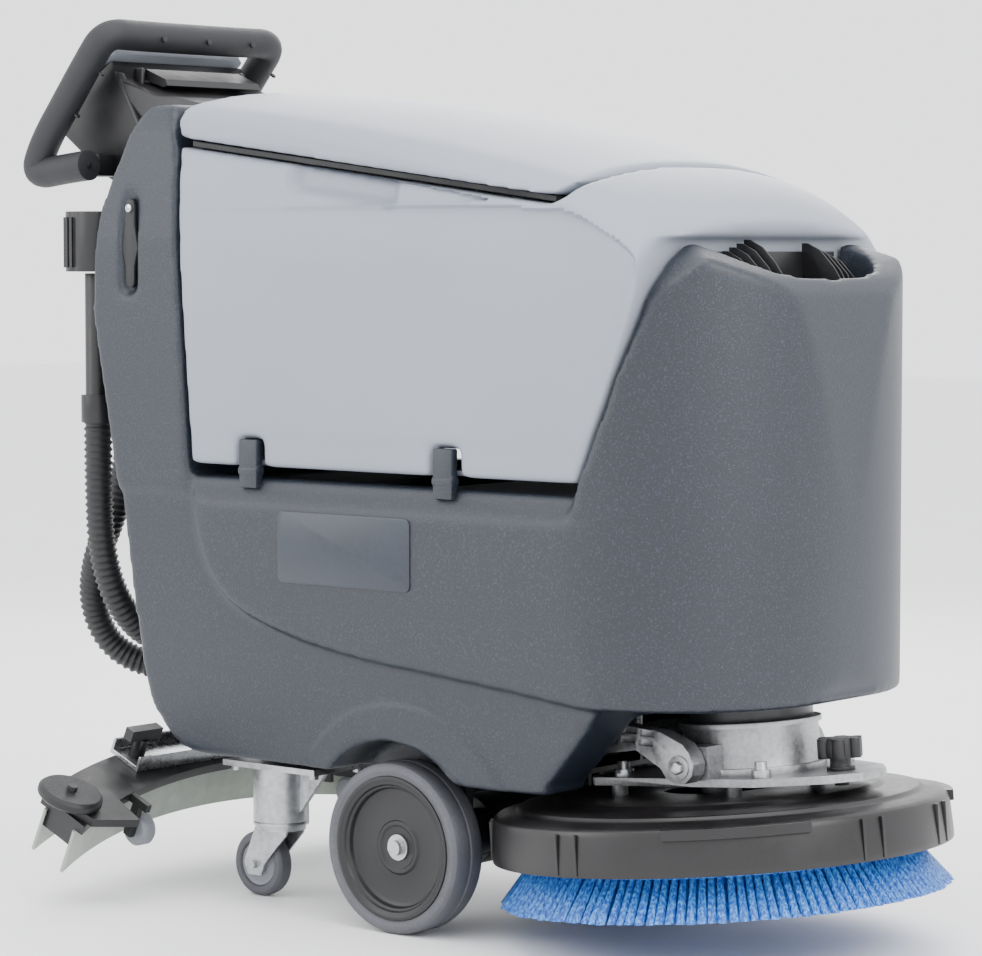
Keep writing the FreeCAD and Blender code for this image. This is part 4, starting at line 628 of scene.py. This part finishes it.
# ---- tipping hinges, straps and blank labels ---------------------------------------------------------
# The tank tips on two slate lugs that fill its notches. A black rubber strap with a bright stud sits in
# each column recess, and plain blank label plates mark the sides of the body.
for index in range(2):
    start = -0.1692 + 0.3 * index
    lug = brick("tip_lug_%d" % index, (start, -0.2445, 0.509), (start + 0.028, -0.2330, 0.566))
    boss = drum("tip_boss", 0.0075, 0.030, (start + 0.014, -0.2385, 0.529), (0, math.pi / 2, 0), 32)
    merged(lug, [boss])
    settle(lug, slate, "chassis", ["tip_hinge_lugs"] if index == 0 else (), edge=0.002)
strap_rubber = mottled("moulded_strap_rubber", "#0a0a0b", "#191a1c", 0.42, 0.62, 300.0, 0.2)
bright_chrome = mottled("bright_chromed_steel", "#b4b6ba", "#d2d4d8", 0.08, 0.18, 90.0, 0.02, metallic=1.0)
STRAP_HALF = [(0.0, 0.742), (0.0055, 0.744), (0.0075, 0.750), (0.0078, 0.768), (0.0105, 0.779), (0.0140, 0.790),
              (0.0112, 0.804), (0.0082, 0.818), (0.0076, 0.838), (0.0058, 0.847), (0.0, 0.850)]
for side, sign in (("right", -1), ("left", 1)):
    outline = [(-0.359 + x, z) for x, z in STRAP_HALF] + [(-0.359 - x, z) for x, z in STRAP_HALF[-2:0:-1]]
    near, far = sorted((sign * 0.2285, sign * 0.2352))
    strap = prism("strap_" + side, outline, 1, near, far)
    settle(strap, strap_rubber, "chassis", ["strap_latches"] if sign < 0 else (), edge=0.0018)
    stud = drum("strap_stud_" + side, 0.0052, 0.005, (-0.358, sign * 0.2362, 0.838), (math.pi / 2, 0, 0), 32)
    settle(stud, bright_chrome, "chassis", edge=0.0018)
label_film = mottled("printed_label_film", "#1f252e", "#272e39", 0.28, 0.4, 160.0, 0.04)
for side, sign in (("right", -1), ("left", 1)):
    corners = [(x + r * math.cos(a), z + r * math.sin(a)) for x, z, r, first in
               ((0.0945, 0.4775, 0.0075, 0), (-0.0935, 0.4775, 0.0075, 90), (-0.0935, 0.4095, 0.0075, 180),
                (0.0945, 0.4095, 0.0075, 270)) for a in (math.radians(first + 15 * k) for k in range(7))]
    near, far = sorted((sign * 0.2480, sign * 0.2513))
    label = prism("blank_label_" + side, corners, 1, near, far)
    settle(label, label_film, "chassis", edge=0.0004)

# ---- handlebar ---------------------------------------------------------------------------------------
# One loop of steel tube in a soft grey grip coating, bent forward at both feet and closed there by round
# end caps. Small screws hold the coating's shells along its inner side.
grip_grey = mottled("soft_grip_coating", "#17181b", "#202125", 0.55, 0.72, 700.0, 0.35)
LOOP_HALF = [(-0.5155, 0.1515, 0.8935), (-0.5560, 0.1515, 0.8900), (-0.6150, 0.1515, 0.8820), (-0.5960, 0.1515, 0.9230),
             (-0.5560, 0.1515, 0.9720), (-0.5160, 0.1515, 1.0210), (-0.4840, 0.1515, 1.0570), (-0.4830, 0.0950, 1.0555)]
loop_route = [(x, -y, z) for x, y, z in LOOP_HALF] + LOOP_HALF[::-1]
loop_curve = bpy.data.curves.new("handlebar_line", "CURVE")
loop_curve.dimensions, loop_curve.resolution_u = "3D", 12
loop_curve.bevel_depth, loop_curve.bevel_resolution, loop_curve.use_fill_caps = 0.0192, 8, True
spline = loop_curve.splines.new("NURBS")
spline.points.add(len(loop_route) - 1)
for point, (x, y, z) in zip(spline.points, loop_route):
    point.co = (x, y, z, 1)
spline.order_u = 3
spline.use_endpoint_u = True
holder = bpy.data.objects.new("handlebar_holder", loop_curve)
bpy.context.scene.collection.objects.link(holder)
handle = bpy.data.objects.new("handlebar_loop", bpy.data.meshes.new_from_object(holder))
bpy.context.scene.collection.objects.link(handle)
bpy.data.objects.remove(holder)
only(handle)
bpy.ops.object.mode_set(mode="EDIT")
bpy.ops.mesh.select_all(action="SELECT")
bpy.ops.mesh.remove_doubles(threshold=0.00001)
bpy.ops.mesh.normals_make_consistent(inside=False)
bpy.ops.object.mode_set(mode="OBJECT")
settle(handle, grip_grey, "chassis", ["handlebar"], edge=0.0025, angle=60)
screws = []
for x, y, z, turn in ((-0.5005, -0.1515, 1.0170, 40), (-0.5450, -0.1515, 0.9660, 42), (-0.4620, -0.070, 1.0515, 90),
                      (-0.4620, 0.010, 1.0515, 90), (-0.4620, 0.090, 1.0515, 90), (-0.4935, 0.1515, 1.0250, 45),
                      (-0.5450, 0.1515, 0.9660, 42), (-0.5148, -0.1515, 0.8936, 90), (-0.5148, 0.1515, 0.8936, 90)):
    push = 0.0 if turn == 90 else 0.0135
    spot = (x + push * math.sin(math.radians(turn)), y, z - push * math.cos(math.radians(turn)))
    screws.append(drum("grip_screw", 0.0038, 0.0026, spot, (0, math.radians(turn), 0), 20))
grip_screws = merged(screws[0], screws[1:])
grip_screws.name = "grip_screws"
settle(grip_screws, strap_rubber, "chassis", edge=0.0008)

# ---- console and control panel -----------------------------------------------------------------------
# A black ABS housing on the column that carries the handle's feet, with a paddle on its pin and a pale
# control panel that leans back to face the operator.
CONSOLE_CORNERS = [(-0.5092, 1.0255), (-0.6080, 0.9640), (-0.6090, 0.9560), (-0.6020, 0.9330), (-0.5482, 0.8850),
                   (-0.4932, 0.8540), (-0.4130, 0.8400), (-0.4100, 0.8480), (-0.3650, 0.9420), (-0.3520, 0.9620),
                   (-0.3600, 0.9695), (-0.3832, 0.9740), (-0.4332, 0.9800), (-0.4932, 1.0010)]
console = prism("console_housing", CONSOLE_CORNERS, 1, -0.1175, 0.1175)
for vertex in console.data.vertices:
    drawn_in = 0.024 * min(1.0, max(0.0, (0.955 - vertex.co.z) / 0.09))
    vertex.co.y -= math.copysign(drawn_in, vertex.co.y)
feet = []
for sign in (-1, 1):
    near, far = sorted((sign * 0.085, sign * 0.1340))
    feet.append(brick("grip_foot", (-0.5592, near, 0.8800), (-0.5172, far, 0.9080)))
    near, far = sorted((sign * 0.0862, sign * 0.0938))
    feet.append(brick("paddle_ear", (-0.4952, near, 0.9660), (-0.4792, far, 1.0160)))
    near, far = sorted((sign * 0.106, sign * 0.1195))
    feet.append(prism("side_rib", [(-0.505, 1.0125), (-0.497, 1.0095), (-0.4250, 0.890), (-0.4330, 0.8855)], 1, near, far))
feet.append(drum("paddle_pin", 0.004, 0.184, (-0.4872, 0, 1.009), (math.pi / 2, 0, 0), 24))
merged(console, feet)
settle(console, moulded_black, "chassis", ["console_body"], edge=0.005)
panel_pale = mottled("moulded_pale_abs", "#8f939c", "#9ca0a9", 0.36, 0.5, 420.0, 0.08)


def seated(piece, origin, degrees):
    """A piece drawn level, set at its place and pitched about the machine's cross axis."""
    piece.data.transform(Matrix.Translation(origin) @ Matrix.Rotation(math.radians(degrees), 4, "Y"))
    return piece


PANEL_SEAT = ((-0.5592, 0.0, 1.0), -32)
panel_corners = [(x + 0.014 * math.cos(a), y + 0.014 * math.sin(a)) for x, y, first in
                 ((0.050, 0.107, 0), (-0.050, 0.107, 90), (-0.050, -0.107, 180), (0.050, -0.107, 270))
                 for a in (math.radians(first + 15 * k) for k in range(7))]
panel = prism("control_panel", panel_corners, 2, 0.0, 0.0098)
carve(panel, brick("screen_recess", (0.006, -0.046, 0.004), (0.058, 0.046, 0.03)))
for x, y, radius in ((-0.030, -0.062, 0.0114), (-0.030, -0.022, 0.0114), (-0.030, 0.018, 0.0114),
                     (-0.028, 0.070, 0.00605), (0.030, 0.084, 0.00905)):
    carve(panel, drum("panel_hole", radius, 0.03, (x, y, 0.018), vertices=40))
seated(panel, *PANEL_SEAT)
settle(panel, panel_pale, "chassis", ["console_panel"], edge=0.0016, angle=40)

# ---- drive wheels ------------------------------------------------------------------------------------
# Grey non-marking rubber tyres of 200 mm on dished black nylon hubs, each hub held on its shaft by one
# zinc-plated bolt and washer.


def spun(name, profile, middle, axis="z", way=1, steps=96):
    """A ring turned from its section: (radius, depth) corners, about an upright or a cross axis."""
    bpy.ops.object.select_all(action="DESELECT")
    bpy.ops.mesh.primitive_circle_add(vertices=len(profile), location=(0, 0, 0))
    ring = bpy.context.object
    ring.name = name
    for vertex, (radius, depth) in zip(ring.data.vertices, profile):
        vertex.co = (radius, 0, depth)
    bpy.ops.object.mode_set(mode="EDIT")
    bpy.ops.mesh.select_all(action="SELECT")
    bpy.ops.mesh.spin(steps=steps, angle=2 * math.pi, center=(0, 0, 0), axis=(0, 0, 1))
    bpy.ops.object.mode_set(mode="OBJECT")
    for vertex in ring.data.vertices:
        x, y, z = vertex.co
        vertex.co = ((middle[0] + x, middle[1] + way * z, middle[2] + y) if axis == "y"
                     else (middle[0] + x, middle[1] + y, middle[2] + z))
    bpy.ops.object.mode_set(mode="EDIT")
    bpy.ops.mesh.select_all(action="SELECT")
    bpy.ops.mesh.remove_doubles(threshold=0.00002)
    bpy.ops.mesh.normals_make_consistent(inside=False)
    bpy.ops.object.mode_set(mode="OBJECT")
    return ring


tyre_rubber = mottled("grey_non_marking_rubber", "#424348", "#55565c", 0.5, 0.68, 260.0, 0.22)
zinc = mottled("zinc_plated_steel", "#8e9092", "#c6c8ca", 0.22, 0.42, 120.0, 0.06, metallic=0.9)
for side, sign in (("right", -1), ("left", 1)):
    face = (0.0438, sign * 0.218, 0.1)
    tyre = spun("drive_tyre_" + side, [
        (0.0838, 0.0018), (0.088, 0.0012), (0.0895, 0.0002), (0.0945, 0.0002), (0.0982, 0.0028), (0.0998, 0.0085),
        (0.1000, 0.0225), (0.0988, 0.0236), (0.0988, 0.0264), (0.1000, 0.0275), (0.0998, 0.0415), (0.0982, 0.0472),
        (0.0945, 0.0498), (0.0895, 0.0498), (0.088, 0.0488), (0.0838, 0.0482)], face, "y", -sign, 128)
    settle(tyre, tyre_rubber, "drive_wheel_" + side, ["tyre_" + side], edge=0.0005)
    hub = spun("drive_hub_dish_" + side, [
        (0.0125, 0.0140), (0.0240, 0.0140), (0.0262, 0.0118), (0.0300, 0.0118), (0.0322, 0.0146), (0.0640, 0.0150),
        (0.0685, 0.0128), (0.0700, 0.0070), (0.0728, 0.0056), (0.0742, 0.0022), (0.0785, 0.0014), (0.0797, 0.0003),
        (0.0836, 0.0003), (0.0836, 0.0480), (0.0780, 0.0480), (0.0745, 0.0230), (0.0280, 0.0220), (0.0240, 0.0460),
        (0.0125, 0.0460)], face, "y", -sign, 128)
    settle(hub, moulded_black, "drive_wheel_" + side, ["drive_hub_" + side], edge=0.0006)

# ---- casters -----------------------------------------------------------------------------------------
# Two swivel casters: grey rubber on a pale centre, in zinc-plated forks whose heads turn under welded
# steel tubes with a mottled zinc skin.
pale_nylon = mottled("moulded_grey_nylon", "#6f7278", "#83868c", 0.4, 0.52, 300.0, 0.1)
for side, sign in (("right", -1), ("left", 1)):
    middle = (-0.2422, sign * 0.128, 0.040)
    tread = spun("caster_tread_" + side, [
        (0.0268, -0.0085), (0.0290, -0.0118), (0.0360, -0.0115), (0.0392, -0.0080), (0.0400, -0.0030), (0.0400, 0.0030),
        (0.0392, 0.0080), (0.0360, 0.0115), (0.0290, 0.0118), (0.0268, 0.0085)], middle, "y", 1, 72)
    settle(tread, tyre_rubber, "caster_roll_" + side, ["caster_wheel_" + side], edge=0.0005)
    centre = spun("caster_centre_" + side, [
        (0.00505, -0.0128), (0.0105, -0.0128), (0.0120, -0.0090), (0.0235, -0.0075), (0.0267, -0.0090), (0.0267, 0.0090),
        (0.0235, 0.0075), (0.0120, 0.0090), (0.0105, 0.0128), (0.00505, 0.0128)], middle, "y", 1, 72)
    settle(centre, pale_nylon, "caster_roll_" + side, edge=0.0005)

# ---- brush deck --------------------------------------------------------------------------------------
# A round black cover over a disc brush of blue nylon tufts, both tilted up at the front. The cover steps
# up in rings to its plate, and has ridges and one lip on each side.
DECK_SEAT = ((0.3568, 0.0, 0.108), -4.9)
cover = spun("brush_cover", [
    (0.2585, 0.0), (0.2628, 0.0), (0.2630, 0.0070), (0.2605, 0.0440), (0.2585, 0.0500), (0.2535, 0.0535),
    (0.2345, 0.0560), (0.2310, 0.0580), (0.2290, 0.0612), (0.2250, 0.0622), (0.1900, 0.0630), (0.1860, 0.0640),
    (0.1820, 0.0675), (0.1780, 0.0682), (0.0625, 0.0682), (0.0625, 0.0645), (0.1800, 0.0645), (0.1870, 0.0600),
    (0.2270, 0.0585), (0.2310, 0.0535), (0.2500, 0.0495), (0.2560, 0.0440)], (0, 0, 0), steps=160)
trim = []
for middle_turn in (-50, 50):
    lip = brick("cover_lip", (-0.080, -0.0085, 0.0400), (0.080, 0.0085, 0.0520))
    bpy.ops.object.mode_set(mode="EDIT")
    bpy.ops.mesh.select_all(action="SELECT")
    bpy.ops.mesh.subdivide(number_cuts=15)
    bpy.ops.object.mode_set(mode="OBJECT")
    for vertex in lip.data.vertices:
        turn = math.radians(middle_turn) + vertex.co.x / 0.256
        radius = 0.2565 + vertex.co.y
        vertex.co.x, vertex.co.y = radius * math.cos(turn), radius * math.sin(turn)
    only(lip)
    bpy.ops.object.mode_set(mode="EDIT")
    bpy.ops.mesh.select_all(action="SELECT")
    bpy.ops.mesh.normals_make_consistent(inside=False)
    bpy.ops.object.mode_set(mode="OBJECT")
    trim.append(lip)
for turn in (-97, -91, -18, -12, 12, 18, 91, 97, 140, 146, -140, -146):
    ridge = brick("cover_ridge", (0.2560, -0.0018, 0.002), (0.2642, 0.0018, 0.0470))
    ridge.data.transform(Matrix.Rotation(math.radians(turn), 4, "Z"))
    trim.append(ridge)
merged(cover, trim)
seated(cover, *DECK_SEAT)
deck_black = mottled("moulded_black_polypropylene", "#0b090a", "#161315", 0.3, 0.46, 340.0, 0.1)
settle(cover, deck_black, "deck", ["deck_cover"], edge=0.0008)

bristle_blue, tree, shader = finish("blue_nylon_bristle", "#0d55ad", 0.38)
place = add(tree, "ShaderNodeTexCoord")
stretch = add(tree, "ShaderNodeMapping", [("Vector", place.outputs["Object"])])
stretch.inputs["Scale"].default_value = (420.0, 420.0, 22.0)
strand = add(tree, "ShaderNodeTexNoise", [("Vector", stretch.outputs["Vector"])], Scale=1.0, Detail=3.0)
glint = add(tree, "ShaderNodeMapRange", [("Value", strand.outputs["Fac"])], From_Min=0.42, From_Max=0.66)
tone = add(tree, "ShaderNodeMix", [("Factor", glint.outputs["Result"])], data_type="RGBA")
tone.inputs["A"].default_value = linear("#07459c")
tone.inputs["B"].default_value = linear("#4f97e0")
tree.links.new(tone.outputs["Result"], shader.inputs["Base Color"])
comb = add(tree, "ShaderNodeBump", [("Height", strand.outputs["Fac"])], Strength=0.5, Distance=0.001)
tree.links.new(comb.outputs["Normal"], shader.inputs["Normal"])
bpy.ops.object.select_all(action="DESELECT")
bpy.ops.mesh.primitive_cone_add(vertices=8, radius1=0.0056, radius2=0.0034, depth=0.044, location=(0, 0, -0.028))
tuft = bpy.context.object
bpy.ops.object.transform_apply(location=True, rotation=True, scale=True)
rows_mesh = bmesh.new()
random.seed(11)
for top, foot, count in ((0.2190, 0.2525, 138), (0.2030, 0.2330, 126), (0.1860, 0.2120, 112), (0.1620, 0.1840, 90),
                         (0.1300, 0.1450, 70), (0.0950, 0.1040, 50), (0.0660, 0.0700, 34)):
    for k in range(count):
        turn = 2 * math.pi * (k + random.uniform(-0.12, 0.12)) / count
        flare = foot + random.uniform(-0.002, 0.002)
        trimmed = random.uniform(-0.0009, 0.0004)
        single = tuft.data.copy()
        for vertex in single.vertices:
            share = min(1.0, max(0.0, -(vertex.co.z + 0.006) / 0.044))
            vertex.co.x += top + (flare - top) * share ** 1.25
            vertex.co.z += trimmed * share
        single.transform(Matrix.Rotation(turn, 4, "Z"))
        rows_mesh.from_mesh(single)
        bpy.data.meshes.remove(single)
bpy.data.objects.remove(tuft)
tuft_rows = bpy.data.meshes.new("brush_tufts")
rows_mesh.to_mesh(tuft_rows)
rows_mesh.free()
tufts = bpy.data.objects.new("brush_tufts", tuft_rows)
bpy.context.scene.collection.objects.link(tufts)
seated(tufts, *DECK_SEAT)
settle(tufts, bristle_blue, "brush", ["brush_bristles"], edge=0)

# ---- cast lift arms ----------------------------------------------------------------------------------
# Two die-cast aluminium arms, joined by a tube, that carry the deck. Rows of pockets keep the castings
# light, and a bright bolt holds each at the gearbox.
cast_aluminium = mottled("die_cast_aluminium", "#7d7e80", "#b9babc", 0.3, 0.5, 180.0, 0.16, metallic=0.85)
ARM_CORNERS = [(0.1308, 0.191), (0.1568, 0.187), (0.2468, 0.217), (0.3308, 0.231), (0.3650, 0.214), (0.3730, 0.204),
               (0.3850, 0.1985), (0.3990, 0.1995), (0.4080, 0.209), (0.4100, 0.222), (0.4040, 0.234), (0.3948, 0.243),
               (0.3648, 0.254), (0.3008, 0.259), (0.2508, 0.237), (0.1508, 0.222), (0.1308, 0.217)]
arms = []
for sign in (-1, 1):
    near, far = sorted((sign * 0.1065, sign * 0.1295))
    arm = prism("lift_arms", ARM_CORNERS, 1, near, far)
    near, far = sorted((sign * 0.1245, sign * 0.14))
    for start, low in ((0.262, 0.2275), (0.286, 0.2350), (0.310, 0.2385), (0.334, 0.2370)):
        carve(arm, brick("pocket_low", (start, near, low), (start + 0.020, far, low + 0.0075)))
        carve(arm, brick("pocket_high", (start + 0.002, near, low + 0.0105), (start + 0.022, far, low + 0.0180)))
    arms.append(arm)
    arms.append(drum("arm_eye", 0.0135, 0.0270, (0.3908, sign * 0.118, 0.217), (math.pi / 2, 0, 0), 48))
arms.append(drum("cross_tube", 0.010, 0.216, (0.2348, 0, 0.219), (math.pi / 2, 0, 0), 40))
merged(arms[0], arms[1:])
settle(arms[0], cast_aluminium, "lift_arm", ["deck_arm"], edge=0.0012)
for side, sign in (("right", -1), ("left", 1)):
    bolt = drum("arm_bolt_" + side, 0.0078, 0.0065, (0.3908, sign * 0.1340, 0.217), (math.pi / 2, 0, 0), 6)
    settle(bolt, zinc, "lift_arm", edge=0.001)

# ---- parts taken over from the frame -----------------------------------------------------------------
# Plates, castings, knobs, blades, switches and the parts inside keep their own shapes; each gets broken
# edges and the finish of what it is made of.


def dressed(names, material, edge=0.001):
    """Broken edges and a finish on parts whose shape is already right."""
    for name in names:
        part = bpy.data.objects[name]
        weld = part.modifiers.new("closed", "WELD")
        weld.merge_threshold = 0.00002
        if edge:
            soft = part.modifiers.new("edges", "BEVEL")
            soft.limit_method, soft.angle_limit = "ANGLE", math.radians(38)
            soft.width, soft.segments = edge, 2
        for place in part.material_slots:
            place.material = material


powder_black = mottled("black_powder_coated_steel", "#0c0c0d", "#18181a", 0.4, 0.56, 620.0, 0.2)
motor_paint = mottled("painted_motor_can", "#17181a", "#242629", 0.32, 0.48, 240.0, 0.08)
polyurethane, tree, shader = finish("clear_polyurethane", "#a6ada0", 0.3)
place = add(tree, "ShaderNodeTexCoord")
haze = add(tree, "ShaderNodeTexNoise", [("Vector", place.outputs["Object"])], Scale=60.0, Detail=3.0)
tone = add(tree, "ShaderNodeMix", [("Factor", haze.outputs["Fac"])], data_type="RGBA")
tone.inputs["A"].default_value = linear("#8d958a")
tone.inputs["B"].default_value = linear("#b6bdb2")
tree.links.new(tone.outputs["Result"], shader.inputs["Base Color"])
shader.inputs["Transmission Weight"].default_value = 0.25
battery_case = mottled("battery_polypropylene", "#101113", "#1b1c1f", 0.38, 0.52, 300.0, 0.1)
signal_green = mottled("green_button_silicone", "#135c34", "#1c7444", 0.4, 0.55, 500.0, 0.1)
screen_glass = mottled("dark_display_glass", "#04080a", "#0a1214", 0.06, 0.14, 40.0, 0.01)
dressed(["chassis_frame", "squeegee_arm", "squeegee_body", "deck_actuator", "control_box"], powder_black, 0.0012)
dressed(["caster_mount_right", "caster_mount_left", "caster_fork_right", "caster_fork_left", "clamp_bar", "axle_right",
         "axle_left", "actuator_rod", "deck_fasteners"], zinc, 0.0008)
dressed(["deck_plate", "gearbox_housing"], cast_aluminium, 0.0014)
dressed(["brush_motor", "transaxle", "vacuum_motor"], motor_paint, 0.0015)
dressed(["drive_paddle", "drain_plug", "hose_fittings", "star_knob", "wing_knob_right", "wing_knob_left", "speed_dial",
         "float_cage"], moulded_black, 0.0012)
dressed(["bumper_disc_right", "bumper_disc_left", "lid_gasket"], strap_rubber, 0.001)
dressed(["support_roller_right", "support_roller_left"], pale_nylon, 0.001)
dressed(["squeegee_blades"], polyurethane, 0)
dressed(["batteries"], battery_case, 0.003)
dressed(["brush_block"], bristle_blue, 0.001)
dressed(["button_1", "button_2", "button_3"], signal_green, 0.001)
dressed(["display_screen"], screen_glass, 0.0008)
dressed(["key_switch"], bright_chrome, 0.0008)
